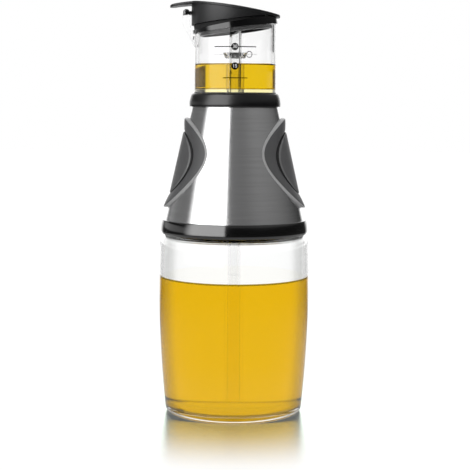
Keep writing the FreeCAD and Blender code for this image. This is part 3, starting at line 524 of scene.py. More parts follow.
def soften(bm: Solid, wanted: Callable[[Edge], bool], width: float, segments: int = 3) -> None:
    """Round the edges that pass a test.

    Args:
        bm: The mesh, in millimetres.
        wanted: Test on an edge.
        width: Width of the bevel in millimetres.
        segments: Steps across it.
    """
    edges = [edge for edge in bm.edges if wanted(edge)]
    bmesh.ops.bevel(
        bm, geom=edges, offset=width, offset_type="OFFSET", affect="EDGES", segments=segments, profile=0.5,
        material=-1, clamp_overlap=True)


def ring_at(*places: Pair) -> Callable[[Edge], bool]:
    """Test for the rings of edges at given radii and heights.

    Args:
        *places: (radius, height) of each ring.

    Returns:
        A test on an edge.
    """

    def wanted(edge: Edge) -> bool:
        """True if both ends of the edge lie on one of the rings."""
        ends = [(vert.co.xy.length, vert.co.z) for vert in edge.verts]
        return any(all(math.dist(end, place) < 0.02 for end in ends) for place in places)

    return wanted


def sharp_turn(angle: float) -> Callable[[Edge], bool]:
    """Test for edges where two faces meet at more than an angle, in degrees."""
    return lambda edge: len(edge.link_faces) == 2 and edge.calc_face_angle(0) > math.radians(angle)


def piece(
    name: str, bm: Solid, finish: Material, body: Body, replaces: Sequence[str] = (),
    crease: float = 32, more: Sequence[Material] = (),
) -> None:
    """Make a finished piece of a mesh and let it ride on its body.

    Args:
        name: Name of the piece.
        bm: Its mesh, in millimetres. It is freed.
        finish: Its material.
        body: The body that it rides on.
        replaces: CAD nodes that it stands for.
        crease: Edges sharper than this angle stay sharp, in degrees.
        more: Its further materials, for marked faces.
    """
    bmesh.ops.scale(bm, vec=(MILLIMETRE,) * 3, verts=bm.verts)
    mesh = bpy.data.meshes.new(name)
    bm.to_mesh(mesh)
    bm.free()
    mesh.polygons.foreach_set("use_smooth", [True] * len(mesh.polygons))
    mesh.set_sharp_from_angle(angle=math.radians(crease))
    for material in (finish, *more):
        mesh.materials.append(material)
    obj = bpy.data.objects.new(name, mesh)
    bpy.context.scene.collection.objects.link(obj)
    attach(obj, body.value)
    if replaces:
        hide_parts(*replaces)
    log.info("%s: %d faces", name, len(mesh.polygons))


def mark_faces(bm: Solid, chosen: Callable[[Face], bool], finish: int = 1) -> None:
    """Give the chosen faces of a solid another finish.

    Args:
        bm: The solid, in millimetres.
        chosen: Test on a face.
        finish: Number of the finish, counted from 0.
    """
    for face in bm.faces:
        face.normal_update()
        if chosen(face):
            face.material_index = finish


def carve(base: Solid, tools: Sequence[Solid], keep: str = "DIFFERENCE") -> Solid:
    """Cut tools out of a solid, or keep what they share.

    Args:
        base: The solid, in millimetres. It is freed.
        tools: The cutting solids. They are freed.
        keep: Boolean operation, DIFFERENCE, INTERSECT or UNION.

    Returns:
        The carved solid.
    """
    made = []
    for bm in (base, *tools):
        mesh = bpy.data.meshes.new("carving")
        bm.to_mesh(mesh)
        bm.free()
        obj = bpy.data.objects.new("carving", mesh)
        bpy.context.scene.collection.objects.link(obj)
        made.append(obj)
    for tool in made[1:]:
        cutter = made[0].modifiers.new("cut", "BOOLEAN")
        cutter.operation = keep
        cutter.solver = "EXACT"
        cutter.object = tool
    bpy.context.view_layer.update()
    result = bmesh.new()
    result.from_object(made[0], bpy.context.evaluated_depsgraph_get())
    for obj in made:
        bpy.data.meshes.remove(obj.data)
    tidy(result)
    return result


def block(low: Point, high: Point) -> Solid:
    """Box between its lowest and its highest corner, in millimetres."""
    bm = bmesh.new()
    size = [b - a for a, b in zip(low, high)]
    middle = [(a + b) / 2 for a, b in zip(low, high)]
    bmesh.ops.create_cube(bm, size=1)
    bmesh.ops.scale(bm, vec=size, verts=bm.verts)
    shift(bm, middle)
    return bm


def rod(radius: float, half: float, x: float, z: float, steps: int = 32) -> Solid:
    """Round rod along Y.

    Args:
        radius: Its radius in millimetres.
        half: Half its length.
        x: Place across.
        z: Height.
        steps: Steps round it.

    Returns:
        The rod.
    """
    bm = bmesh.new()
    bmesh.ops.create_cone(bm, cap_ends=True, segments=steps, radius1=radius, radius2=radius, depth=2 * half)
    rotate(bm, 90, "X")
    shift(bm, (x, 0, z))
    return bm


# Jar


@dataclass
class Jar:
    """Bulging glass jar with a thick foot, and the oil in it."""

    foot: float = 39.6
    heel: float = 3.0
    shoulder: float = 42.75
    shoulder_height: float = 98.0
    shoulder_round: float = 6.0
    side_round: float = 728.0
    wall: float = 2.6
    floor: float = 3.4
    floor_round: float = 4.0
    hollow: float = 30.0
    hollow_depth: float = 1.2
    neck: float = 31.5
    neck_wall: float = 3.5
    neck_top: float = 118.0
    lip: float = 1.4
    oil_level: float = 79.2
    painted_shade_line: float = 1.0
    overlap: float = 0.12

    def build_glass(self, finish: Material) -> None:
        """Make the jar.

        Args:
            finish: The glass.
        """
        top = self.shoulder_height + self.shoulder_round
        bore = self.neck - self.neck_wall
        inner_round = self.shoulder_round - self.wall
        bm = turned([
            (0, self.hollow_depth),
            (self.hollow - 9, self.hollow_depth, -40),
            (self.hollow, 0),
            (self.foot - self.heel, 0, self.heel),
            (self.foot, self.heel, self.side_round),
            (self.shoulder, self.shoulder_height, self.shoulder_round),
            (self.shoulder - self.shoulder_round, top),
            (self.neck, top),
            (self.neck, self.neck_top - self.lip, self.lip),
            (self.neck - self.lip, self.neck_top),
            (bore + self.lip, self.neck_top, self.lip),
            (bore, self.neck_top - self.lip),
            (bore, top - self.wall),
            (self.shoulder - self.shoulder_round, top - self.wall, -inner_round),
            (self.shoulder - self.wall, self.shoulder_height, -(self.side_round - self.wall)),
            (self.foot - self.wall, self.floor + self.floor_round, -self.floor_round),
            (self.foot - self.wall - self.floor_round, self.floor),
            (0, self.floor),
        ], 192)
        piece("jar", bm, finish, Body.BOTTLE, ["glass_bottle"], crease=40)

    def bore_at(self, height: float) -> float:
        """Inner radius at a height, in millimetres."""
        low = self.floor + self.floor_round
        span = self.shoulder_height - low
        share = (height - low) / span
        swell = span ** 2 / (self.side_round - self.wall) / 2 * share * (1 - share)
        return self.foot + (self.shoulder - self.foot) * share + swell - self.wall

    def build_oil(self, finish: Material, surface: Material, line: Material) -> None:
        """Make the oil. It reaches a hair into the glass, so that no film of air shows between them.

        Args:
            finish: The oil.
            surface: The oil's level surface, which hardly tints.
            line: Painted shade: a dark band where the surface meets the glass.
        """
        side = self.foot - self.wall + self.overlap
        low = self.floor - self.overlap
        top = self.oil_level - self.painted_shade_line
        bm = turned([
            (0, low),
            (side - self.floor_round, low, self.floor_round),
            (side, low + self.floor_round, self.side_round),
            (self.bore_at(top) + self.overlap, top),
            (self.bore_at(self.oil_level) + self.overlap, self.oil_level),
            (0, self.oil_level),
        ], 192)
        # Painted shade: faces in the top band of the side wall take the dark line material.
        mark_faces(bm, lambda face: face.calc_center_median().z > top + 0.1, 2)
        mark_faces(bm, lambda face: face.normal.z > 0.7)
        piece("jar_oil", bm, finish, Body.BOTTLE, ["bottle_oil"], crease=50, more=(surface, line))


@dataclass
class Tubes:
    """Suction tube down to the jar's floor, wet and dry, and the standpipe in the measuring cup."""

    radius: float = 3.6
    wall: float = 1.2
    foot: float = 8.0
    wet_top: float = 79.2
    parting: float = 0.02
    meeting: float = 175.0
    standpipe_foot: float = 175.2
    tip: float = 218.8
    tip_slope: float = 23.0

    def tube(self, low: float, high: float) -> Solid:
        """Straight length of tube between two heights, in millimetres."""
        bore = self.radius - self.wall
        return turned([(bore, low), (self.radius, low), (self.radius, high), (bore, high)], 64)

    def build(self, dry: Material, wet: Material) -> None:
        """Make the tubes.

        Args:
            dry: Clear plastic in air.
            wet: Clear plastic in oil.
        """
        soaked = self.tube(self.foot, self.wet_top - self.parting)
        piece("suction_tube_wet", soaked, wet, Body.HEAD, ["suction_tube"])
        clear = self.tube(self.wet_top + self.parting, self.meeting)
        piece("suction_tube_dry", clear, dry, Body.HEAD)
        pipe = self.tube(self.standpipe_foot, self.tip + self.radius)
        slice_off(pipe, (self.radius, 0, self.tip), (-math.tan(math.radians(self.tip_slope)), 0, 1))
        piece("standpipe_tube", pipe, dry, Body.HEAD, ["standpipe"])


# Pump head


@dataclass
class PumpHead:
    """Screw collar, steel cone and top ring."""

    foot: float = 111.6
    foot_radius: float = 39.9
    top: float = 175.9
    top_radius: float = 24.7
    wall: float = 0.6
    window_height: float = 144.0
    window_half_length: float = 23.6
    window_half_width: float = 25.6

    def cone(self, height: float) -> float:
        """Radius of the steel cone at a height, in millimetres."""
        fall = (self.foot_radius - self.top_radius) / (self.top - self.foot)
        return self.foot_radius - fall * (height - self.foot)

    def build_sleeve(self, finish: Material) -> None:
        """Make the steel cone with its two oval windows.

        Args:
            finish: Brushed steel.
        """
        shell = turned([
            (self.foot_radius - self.wall, self.foot),
            (self.foot_radius, self.foot),
            (self.top_radius, self.top),
            (self.top_radius - self.wall, self.top),
        ], 192)
        window = bmesh.new()
        bmesh.ops.create_cone(
            window, cap_ends=True, segments=96, radius1=1, radius2=1, depth=4 * self.foot_radius)
        bmesh.ops.scale(window, vec=(self.window_half_length, self.window_half_width, 1), verts=window.verts)
        rotate(window, 90, "Y")
        shift(window, (0, 0, self.window_height))
        piece("steel_cone", carve(shell, [window]), finish, Body.HEAD, ["steel_sleeve"])

    def build_collar(self, finish: Material) -> None:
        """Make the black screw collar with its skirt.

        Args:
            finish: Black plastic.
        """
        bm = turned([
            (31.8, 104.6), (40.3, 104.6), (40.3, 103.5), (41.5, 103.5), (42.3, 105.1, 32), (41.5, 111.6),
            (36.15, 111.6), (36.15, 107.2), (34.0, 107.2), (34.0, 120.5), (28.0, 120.5), (28.0, 119.3),
            (31.8, 119.3),
        ], 192)
        soften(bm, ring_at((41.5, 111.6), (42.3, 105.1), (41.5, 103.5), (40.3, 103.5)), 0.3)
        piece("collar_band", bm, finish, Body.HEAD, ["screw_collar"])

    def build_top_ring(self, finish: Material) -> None:
        """Make the black ring that crowns the cone.

        Args:
            finish: Black plastic.
        """
        bm = turned([
            (9.0, 174.5), (24.0, 174.5), (24.0, 175.9), (25.9, 175.9), (26.05, 177.3, 16), (25.1, 181.8, 1.9),
            (23.9, 183.3), (21.15, 183.3), (21.15, 177.0), (9.0, 177.0),
        ], 192)
        soften(bm, ring_at((25.9, 175.9), (21.15, 183.3)), 0.25)
        piece("crown_ring", bm, finish, Body.HEAD, ["top_ring"])


@dataclass
class Grip:
    """Dished oval grip and press button on one side, saddle-shaped over the cone."""

    side: Side
    head: PumpHead = field(default_factory=PumpHead)
    height: float = 144.0
    half_length: float = 25.6
    half_width: float = 27.6
    hole_half_length: float = 18.1
    hole_half_width: float = 21.4
    gap: float = 0.5
    steps: int = 128

    def face(self, y: float, z: float, proud: float, side_proud: float) -> float:
        """Reach from the axis to a face that stands proud of the cone, more at the side than at the front.

        Args:
            y: Place across the grip, in millimetres.
            z: Height.
            proud: How proud the face stands at the side.
            side_proud: How proud it stands at the front and back.

        Returns:
            The distance along X.
        """
        radius = self.head.cone(z)
        wide, deep = radius + proud, radius + side_proud
        return wide * math.sqrt(max(1 - (y / deep) ** 2, 0))

    def saddle(self, rows: Sequence[Point], closed: bool, proud: Callable[[float], Pair]) -> Solid:
        """Lay concentric oval loops over the cone and join them.

        Args:
            rows: (half length, half width, level) of each loop. The level is added to the face's reach.
            closed: True joins the last loop to the first, False closes the solid with fans at both ends.
            proud: How proud the face stands at a height, at the side and at the front.

        Returns:
            The solid.
        """
        bm = bmesh.new()
        bmesh.ops.create_circle(bm, cap_ends=False, segments=self.steps, radius=1)
        rotate(bm, 90, "Y")
        loop, first, unit = bm.edges[:], bm.edges[:], [(v, v.co.copy()) for v in bm.verts]
        loops = []
        for number, row in enumerate(rows):
            if number:
                grown = bmesh.ops.extrude_edge_only(bm, edges=loop)["geom"]
                loop = [item for item in grown if isinstance(item, Edge) and item.is_boundary]
                verts = [item for item in grown if isinstance(item, Vert)]
                before = {tuple(round(c, 3) for c in v.co): at for v, at in unit}
                unit = [(v, before[tuple(round(c, 3) for c in v.co)]) for v in verts]
            length, width, level = row
            for vert, at in unit:
                y, z = at.y * width, self.height + at.z * length
                reach = self.face(y, z, *proud(z)) + level
                vert.co = (reach * self.side.value, y, z)
            loops.append(loop)
        if closed:
            bmesh.ops.bridge_loops(bm, edges=first + loop)
        else:
            for ends in (first, loop):
                bmesh.ops.contextual_create(bm, geom=ends)
        tidy(bm)
        return bm

    def reach(self, face: Face, length: float, width: float) -> float:
        """How far out a face lies in an oval, 1 on its edge.

        Args:
            face: The face.
            length: Half length of the oval.
            width: Half width of the oval.

        Returns:
            The share.
        """
        middle = face.calc_center_median()
        return math.hypot((middle.z - self.height) / length, middle.y / width)

    def build_ring(self, finish: Material, highlight_paint: Material, gap_shade: Material) -> None:
        """Make the dished ring.

        Args:
            finish: Grip plastic.
            highlight_paint: The smoother plastic of its outer edge, painted a lighter grey as a highlight
                where light catches the edge.
            gap_shade: Painted shade for the wall of its hole, near black where shade falls in the gap.
        """
        grow = self.half_length - self.hole_half_length
        spread = self.half_width - self.hole_half_width

        def row(share: float, level: float) -> Point:
            """Loop at a share of the way from the hole to the outer edge."""
            return self.hole_half_length + grow * share, self.hole_half_width + spread * share, level

        rows = [row(1.0, -2.4), row(1.0, -0.55), row(0.985, -0.2), row(0.95, -0.02), row(0.90, 0.0)]
        dish = (0.78, 0.62, 0.46, 0.32, 0.18, 0.10)
        rows += [row(share, -1.5 * ((0.9 - share) / 0.85) ** 1.25) for share in dish]
        rows += [row(0.03, -1.62), row(0.0, -1.95), row(0.0, -4.6), row(0.72, -4.6), row(0.72, -2.4)]
        bm = self.saddle(rows, True, lambda z: (2.45, -0.35))
        # Painted highlight on the ring's outer edge.
        mark_faces(bm, lambda face: self.reach(face, self.half_length, self.half_width) > 0.984)
        # Painted shade on the wall of the ring's hole.
        mark_faces(bm, lambda face: self.reach(face, self.hole_half_length, self.hole_half_width) < 1.004, 2)
        word = self.side.word
        piece(
            f"{word}_grip", bm, finish, Body.HEAD, [f"{word}_grip_ring"], crease=50,
            more=(highlight_paint, gap_shade))

    def build_button(self, finish: Material, highlight_paint: Material, gap_shade: Material) -> None:
        """Make the press button with its rolled edge.

        Args:
            finish: Button plastic.
            highlight_paint: The smoother plastic of its rolled edge, painted a lighter grey as a highlight
                along the edge.
            gap_shade: Painted shade for the wall of the gap round it, near black where shade falls.
        """
        length, width = self.hole_half_length - self.gap, self.hole_half_width - self.gap

        def proud(z: float) -> Pair:
            """The button stands prouder at its head than at its foot."""
            share = (z - self.head.foot) / (self.head.top - self.head.foot)
            return 0.8 + 0.7 * share, 0.5

        rows = [(length, width, -1.55), (length, width, -0.75), (length - 0.12, width - 0.12, -0.4)]
        rows += [(length - 0.4, width - 0.4, -0.14), (length - 0.9, width - 0.9, -0.02)]
        rows += [(length * share, width * share, 0.0) for share in (0.9, 0.78, 0.64, 0.48, 0.32, 0.16, 0.05)]
        bm = self.saddle(rows, False, proud)
        # Painted highlight on the button's rolled edge.
        mark_faces(bm, lambda face: self.reach(face, length, width) > 0.965)
        # Painted shade on the button's outermost faces, in the gap round it.
        mark_faces(bm, lambda face: self.reach(face, length, width) > 0.992, 2)
        word = self.side.word
        body = Body.RIGHT_BUTTON if self.side is Side.RIGHT else Body.LEFT_BUTTON
        piece(
            f"{word}_button", bm, finish, body, [f"{word}_press_button"], crease=50,
            more=(highlight_paint, gap_shade))


# Measuring cup


@dataclass
class Cup:
    """Clear measuring cup with a slanted rim and two hinge ears, its oil and its printed scale."""

    radius: float = 23.3
    wall: float = 2.0
    foot: float = 183.9
    floor: float = 185.7
    floor_round: float = 1.0
    pipe: float = 3.6
    rim: float = 219.6
    tilt: float = 7.2
    oil_level: float = 199.2
    overlap: float = 0.06
    hinge_x: float = -27.65
    hinge_height: float = 228.5
    ear_radius: float = 1.9
    ear_inside: float = 4.3
    ear_width: float = 2.4

    def build_cup(self, finish: Material, painted_oil_glow: Material) -> None:
        """Make the cup.

        Args:
            finish: Clear plastic.
            painted_oil_glow: Clear plastic with a painted yellow glow, for the cup's floor: the tint stands
                in for light coming through the oil above.
        """
        bore = self.radius - self.wall
        bm = turned([
            (3.65, self.foot - 1.8), (5.7, self.foot - 1.8), (5.7, self.foot), (19.0, self.foot),
            (19.0, 177.3), (21.1, 177.3), (21.1, self.foot), (self.radius, self.foot),
            (self.radius, self.floor), (self.radius, 240), (bore, 240),
            (bore, self.floor + self.floor_round, -self.floor_round), (bore - self.floor_round, self.floor),
            (3.65, self.floor),
        ], 160)
        slice_off(bm, (0, 0, self.rim), (-math.tan(math.radians(self.tilt)), 0, 1))
        # Painted light: the floor band takes the yellow-tinted plastic, standing in for light coming through
        # the oil above.
        mark_faces(bm, lambda face: self.foot < face.calc_center_median().z < self.floor)
        piece("measuring_cup", bm, finish, Body.HEAD, ["measuring_chamber"], more=(painted_oil_glow,))

    def build_ears(self, finish: Material) -> None:
        """Make the two hinge ears.

        Args:
            finish: Clear plastic.
        """
        bm = bmesh.new()
        x, z, r = self.hinge_x, self.hinge_height, self.ear_radius
        side = [(-22.9, 209), (-22.9, 215.4), (-24.9, 215.4), (x + r, 222.0), (x + r, z)]
        verts = [bm.verts.new((a, self.ear_inside, b)) for a, b in side]
        for pair in zip(verts, verts[1:]):
            bm.edges.new(pair)
        swept = bmesh.ops.spin(
            bm, geom=[verts[-1]], cent=(x, self.ear_inside, z), axis=(0, -1, 0), dvec=(0, 0, 0),
            angle=math.pi, steps=12, use_merge=False, use_duplicate=False)
        end = next(item for item in swept["geom_last"] if isinstance(item, Vert))
        elbow = bm.verts.new((x - r, self.ear_inside, 222.0))
        bm.edges.new((end, elbow))
        bm.edges.new((elbow, verts[0]))
        bmesh.ops.contextual_create(bm, geom=bm.edges[:])
        bmesh.ops.remove_doubles(bm, verts=bm.verts, dist=1e-4)
        grown = bmesh.ops.extrude_face_region(bm, geom=bm.faces[:])["geom"]
        far = [item for item in grown if isinstance(item, Vert)]
        bmesh.ops.translate(bm, vec=(0, self.ear_width, 0), verts=far)
        bmesh.ops.recalc_face_normals(bm, faces=bm.faces)
        double(bm)
        soften(bm, sharp_turn(60), 0.2, 2)
        piece("hinge_ears", bm, finish, Body.HEAD)

    def build_caps(self, finish: Material) -> None:
        """Make the two caps on the ears' outer faces, over the hinge pin.

        Args:
            finish: Black plastic.
        """
        bm = rod(1.45, 0.6, self.hinge_x, self.hinge_height, 40)
        shift(bm, (0, self.ear_inside + self.ear_width + 0.32, 0))
        double(bm)
        soften(bm, sharp_turn(60), 0.15, 2)
        piece("hinge_caps", bm, finish, Body.HEAD)

    def build_oil(self, finish: Material, surface: Material) -> None:
        """Make the measured oil, with the curl that it has at the wall.

        Args:
            finish: The oil.
            surface: The oil's level surface and its face on the pipe, which hardly tint.
        """
        bore = self.radius - self.wall + self.overlap
        low = self.floor - self.overlap
        inner = self.pipe - self.overlap
        level = self.oil_level
        bm = turned([
            (inner, low), (bore - self.floor_round, low, self.floor_round), (bore, low + self.floor_round),
            (bore, level + 0.7, -0.8), (bore - 0.8, level), (inner + 0.6, level, -0.6), (inner, level + 0.5),
        ], 144)
        mark_faces(bm, lambda face: face.normal.z > 0.7 or face.calc_center_median().xy.length < inner + 0.7)
        piece("measured_oil", bm, finish, Body.HEAD, ["chamber_oil"], crease=50, more=(surface,))


@dataclass
class Scale:
    """Scale printed on the cup: lines, and round badges with plain numbers."""

    radius: float = 23.33
    depth: float = 0.04

    def wrap(self, bm: Solid, back: bool = False) -> Solid:
        """Bend a flat print round the cup.

        Args:
            bm: The print in the XZ plane, in millimetres, with its thickness along Y.
            back: True puts it on the back of the cup.

        Returns:
            The same mesh, bent.
        """
        for vert in bm.verts:
            angle = vert.co.x / self.radius
            reach = self.radius + vert.co.y
            way = 1 if back else -1
            vert.co = (math.sin(angle) * reach, way * math.cos(angle) * reach, vert.co.z)
        bmesh.ops.recalc_face_normals(bm, faces=bm.faces)
        return bm

    def line(self, half: float, z: float, width: float) -> Solid:
        """Flat line.

        Args:
            half: Half its length in millimetres.
            z: Its height.
            width: Its width.

        Returns:
            The line.
        """
        bm = block((-half, 0, z - width / 2), (half, self.depth, z + width / 2))
        long_edges = [edge for edge in bm.edges if abs(edge.verts[0].co.x - edge.verts[1].co.x) > half]
        bmesh.ops.subdivide_edges(bm, edges=long_edges, cuts=24, use_grid_fill=True)
        return bm

    def badge(self, x: float, z: float, radius: float, hole: float = 0.0) -> Solid:
        """Flat round badge or ring.

        Args:
            x: Place across, in millimetres.
            z: Its height.
            radius: Its radius.
            hole: Radius of its hole.

        Returns:
            The badge.
        """
        corners = [(hole, 0), (radius, 0), (radius, self.depth), (hole, self.depth)]
        bm = turned(corners, 40)
        rotate(bm, -90, "X")
        shift(bm, (x, 0, z))
        return bm

    def number(self, digits: str, x: float, z: float, size: float, lift: float) -> Solid:
        """Flat number.

        Args:
            digits: The number.
            x: Place across, in millimetres.
            z: Its middle height.
            size: Height of the digits' line.
            lift: How far it stands off the cup.

        Returns:
            The number.
        """
        curve = bpy.data.curves.new("digits", "FONT")
        curve.body = digits
        curve.size = size
        curve.align_x, curve.align_y = "CENTER", "CENTER"
        curve.extrude = self.depth / 2
        curve.offset = 0.02
        text = bpy.data.objects.new("digits", curve)
        bpy.context.scene.collection.objects.link(text)
        bpy.context.view_layer.update()
        bm = bmesh.new()
        mesh = text.to_mesh()
        bm.from_mesh(mesh)
        bpy.data.objects.remove(text)
        bpy.data.curves.remove(curve)
        rotate(bm, 90, "X")
        shift(bm, (x, lift, z))
        bmesh.ops.triangulate(bm, faces=bm.faces)
        bmesh.ops.remove_doubles(bm, verts=bm.verts, dist=1e-4)
        return bm

    def build(self, black: Material, white: Material, grey: Material) -> None:
        """Print the scale.

        Args:
            black: Black ink.
            white: White ink.
            grey: Grey ink, on the back.
        """
        lines = (("scale_line_30", 12.0, 208.93, 0.5), ("scale_line_5", 6.9, 191.8, 0.46))
        for name, half, z, width in lines:
            piece(name, self.wrap(self.line(half, z, width)), black, Body.HEAD)
        for number, z in (("30", 208.93), ("15", 198.3)):
            shape = self.wrap(self.badge(-0.2, z, 2.0))
            shift(shape, (0, -self.depth, 0))
            piece(f"scale_badge_{number}", shape, black, Body.HEAD)
            digits = self.wrap(self.number(number, -0.2, z, 2.7, 2.6 * self.depth))
            piece(f"scale_digits_{number}", digits, white, Body.HEAD)
        small = self.wrap(self.number("5", -2.3, 194.7, 2.2, self.depth))
        piece("scale_digits_5", small, black, Body.HEAD)
        ring = self.wrap(self.badge(8.9, 205.4, 2.1, 1.6), back=True)
        piece("scale_back_ring", ring, grey, Body.HEAD)
        piece("scale_back_line", self.wrap(self.line(14.5, 205.4, 0.16), back=True), grey, Body.HEAD)


# Pouring collar and lid


@dataclass
class PourCollar:
    """Black collar that plugs the slanted rim. Its outline is about the rim's own tilted axis."""

    rim: float = 219.6
    tilt: float = 7.2
    radius: float = 24.3
    band: float = 3.3
    band_tilt: float = 10.3
    bore: float = 19.4

    def build(self, finish: Material, painted_neck_shade: Material) -> None:
        """Make the collar.

        Args:
            finish: Black plastic.
            painted_neck_shade: Painted shade for the neck under the lid and the faces above it, near black
                where the lid shades them.
        """
        body = turned([
            (0, 0.4), (self.bore, 0.4), (self.bore, -2.0), (20.8, -2.0), (20.8, 0.05), (self.radius, 0.05),
            (self.radius, 24), (self.bore, 24), (self.bore, 1.75), (0, 1.75),
        ], 160)
        level = math.radians(self.band_tilt - self.tilt)
        slice_off(body, (0, 0, self.band), (-math.sin(level), 0, math.cos(level)))
        neck = turned([(self.bore, 1.0), (23.2, 1.0), (23.2, 4.7), (self.bore, 4.7)], 160)
        joined = carve(body, [neck], "UNION")
        slot = block((9.5, -6.5, -20), (17.5, 6.5, 20))
        spout = block((16.5, -5.5, 1.75), (48, 5.5, 24))
        vent = bmesh.new()
        bmesh.ops.create_cone(vent, cap_ends=True, segments=32, radius1=1.5, radius2=1.5, depth=40)
        shift(vent, (-13, 0, 0))
        bm = carve(joined, [slot, spout, vent])
        # Painted shade: the neck and the faces above it take near black, where the lid shades them.
        mark_faces(bm, lambda face: 22.8 < face.calc_center_median().xy.length < 23.9)
        mark_faces(bm, lambda face: face.calc_center_median().z > 4)
        rotate(bm, -self.tilt, "Y")
        shift(bm, (0, 0, self.rim))
        piece("pouring_collar", bm, finish, Body.HEAD, ["pour_collar"], more=(painted_neck_shade,))


@dataclass
class Lid:
    """Wedge lid under a thin crowned plate, with a thumb tongue and a hinge knuckle."""

    rim: float = 219.6
    tilt: float = 7.2
    foot: float = 5.0
    radius: float = 24.9
    wall: float = 1.5
    plate_radius: float = 25.3
    plate: float = 1.4
    top: float = 232.75
    slope: float = 8.5
    crown: float = 215.0
    roof: float = 1.7
    tongue_tip_x: float = -37.1
    tongue_tip_height: float = 232.9
    tongue_root_x: float = -22.0
    tongue_root_height: float = 234.75
    tongue_bend: float = 96.0
    tongue_thickness: float = 1.5
    tongue_half: float = 9.0
    tongue_tip_half: float = 7.0
    tongue_tip_bow: float = 2.2
    hinge_x: float = -27.65
    hinge_height: float = 228.5

    def crown_at(self, x: float, y: float) -> float:
        """Height of the lid's crowned top.

        Args:
            x: Place across, in millimetres.
            y: Place back.

        Returns:
            The height.
        """
        tilt = math.radians(self.slope)
        cx = -self.crown * math.sin(tilt)
        cz = self.top - self.crown * math.cos(tilt)
        return cz + math.sqrt(self.crown ** 2 - (x - cx) ** 2 - y ** 2)

    def foot_at(self, x: float) -> float:
        """Height of the lid's lower edge, parallel to the cup's rim."""
        tilt = math.radians(self.tilt)
        return self.rim + self.foot / math.cos(tilt) + x * math.tan(tilt)

    def build_wall(self, finish: Material) -> None:
        """Make the wedge-shaped wall and the roof in it.

        Args:
            finish: Lid plastic.
        """
        inner = self.radius - self.wall
        bm = turned([(inner, 0), (self.radius, 0), (self.radius, 3), (0, 3), (0, 2), (inner, 2)], 160)
        for vert in bm.verts:
            x, y, level = vert.co
            if level < 1:
                vert.co.z = self.foot_at(x)
            else:
                vert.co.z = self.crown_at(x, y) - (0.75 if level > 2.5 else self.roof)
        tidy(bm)
        soften(bm, lambda edge: all(v.co.z < self.foot_at(v.co.x) + 0.01 for v in edge.verts), 0.25)
        piece("lid_wedge", bm, finish, Body.LID, ["flip_lid"])

    def build_plate(self, finish: Material) -> None:
        """Make the thin crowned top plate.

        Args:
            finish: Lid plastic.
        """
        rings = [self.plate_radius * share for share in (0.2, 0.4, 0.6, 0.8, 0.93)]
        corners = [(0, 0), *((r, 0) for r in rings), (self.plate_radius, 0), (self.plate_radius, 1)]
        corners += [*((r, 1) for r in reversed(rings)), (0, 1)]
        bm = turned(corners, 160)
        for vert in bm.verts:
            vert.co.z = self.crown_at(vert.co.x, vert.co.y) - (self.plate if vert.co.z < 0.5 else 0)
        soften(bm, sharp_turn(60), 0.28)
        piece("lid_plate", bm, finish, Body.LID)

    def tongue_top(self, x: float) -> float:
        """Height of the tongue's upper face.

        Args:
            x: Place across, in millimetres.

        Returns:
            The height.
        """
        tip = Vector((self.tongue_tip_x, self.tongue_tip_height))
        root = Vector((self.tongue_root_x, self.tongue_root_height))
        chord = root - tip
        across = Vector((-chord.y, chord.x)).normalized()
        sag = math.sqrt(self.tongue_bend ** 2 - (chord.length / 2) ** 2)
        centre = (tip + root) / 2 - across * sag
        return centre.y + math.sqrt(self.tongue_bend ** 2 - (x - centre.x) ** 2)

    def build_tongue(self, finish: Material) -> None:
        """Make the thumb tongue.

        Args:
            finish: Lid plastic.
        """
        bm = bmesh.new()
        bmesh.ops.create_grid(bm, x_segments=16, y_segments=14, size=0.5)
        root, corner = self.tongue_root_x, self.tongue_tip_x + self.tongue_tip_bow
        for vert in bm.verts:
            along, across = 0.5 - vert.co.x, vert.co.y * 2
            bow = self.tongue_tip_bow * (1 - across ** 2) if along > 0 else 0
            x = root + (corner - root) * along - bow * along ** 2
            taper = max(0.0, (along - 0.25) / 0.75)
            half = self.tongue_half + (self.tongue_tip_half - self.tongue_half) * taper ** 1.6
            vert.co = (x, across * half, self.tongue_top(x) - self.tongue_thickness)
        grown = bmesh.ops.extrude_face_region(bm, geom=bm.faces[:])["geom"]
        raised = [item for item in grown if isinstance(item, Vert)]
        bmesh.ops.translate(bm, vec=(0, 0, self.tongue_thickness), verts=raised)
        tidy(bm)
        soften(bm, sharp_turn(60), 0.45, 4)
        piece("lid_tongue", bm, finish, Body.LID)

    def build_knuckle(self, finish: Material) -> None:
        """Make the hinge knuckle with its web.

        Args:
            finish: Lid plastic.
        """
        barrel = rod(1.5, 4.0, self.hinge_x, self.hinge_height, 40)
        web = block((self.hinge_x, -4.0, self.hinge_height - 0.9), (-24.2, 4.0, self.hinge_height + 0.9))
        joined = carve(barrel, [web], "UNION")
        bore = rod(0.85, 6.0, self.hinge_x, self.hinge_height)
        piece("lid_knuckle", carve(joined, [bore]), finish, Body.LID)


# Carried-over parts


@dataclass
class InnerParts:
    """Sub-parts whose own solids are shown."""

    black: Sequence[str] = ("head_core",)
    rubber: Sequence[str] = ("neck_gasket", "chamber_seal", "right_diaphragm", "left_diaphragm", "lid_plug")
    clear: Sequence[str] = ("tube_joiner", "splash_disc")
    steel: Sequence[str] = ("hinge_pin",)

    def dress(self, names: Sequence[str], finish: Material) -> None:
        """Give each named sub-part a finish.

        Args:
            names: Names of the sub-parts.
            finish: Their material.
        """
        for name in names:
            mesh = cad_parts[name].data
            mesh.materials.clear()
            mesh.materials.append(finish)
            log.info("%s dressed", name)


# Studio


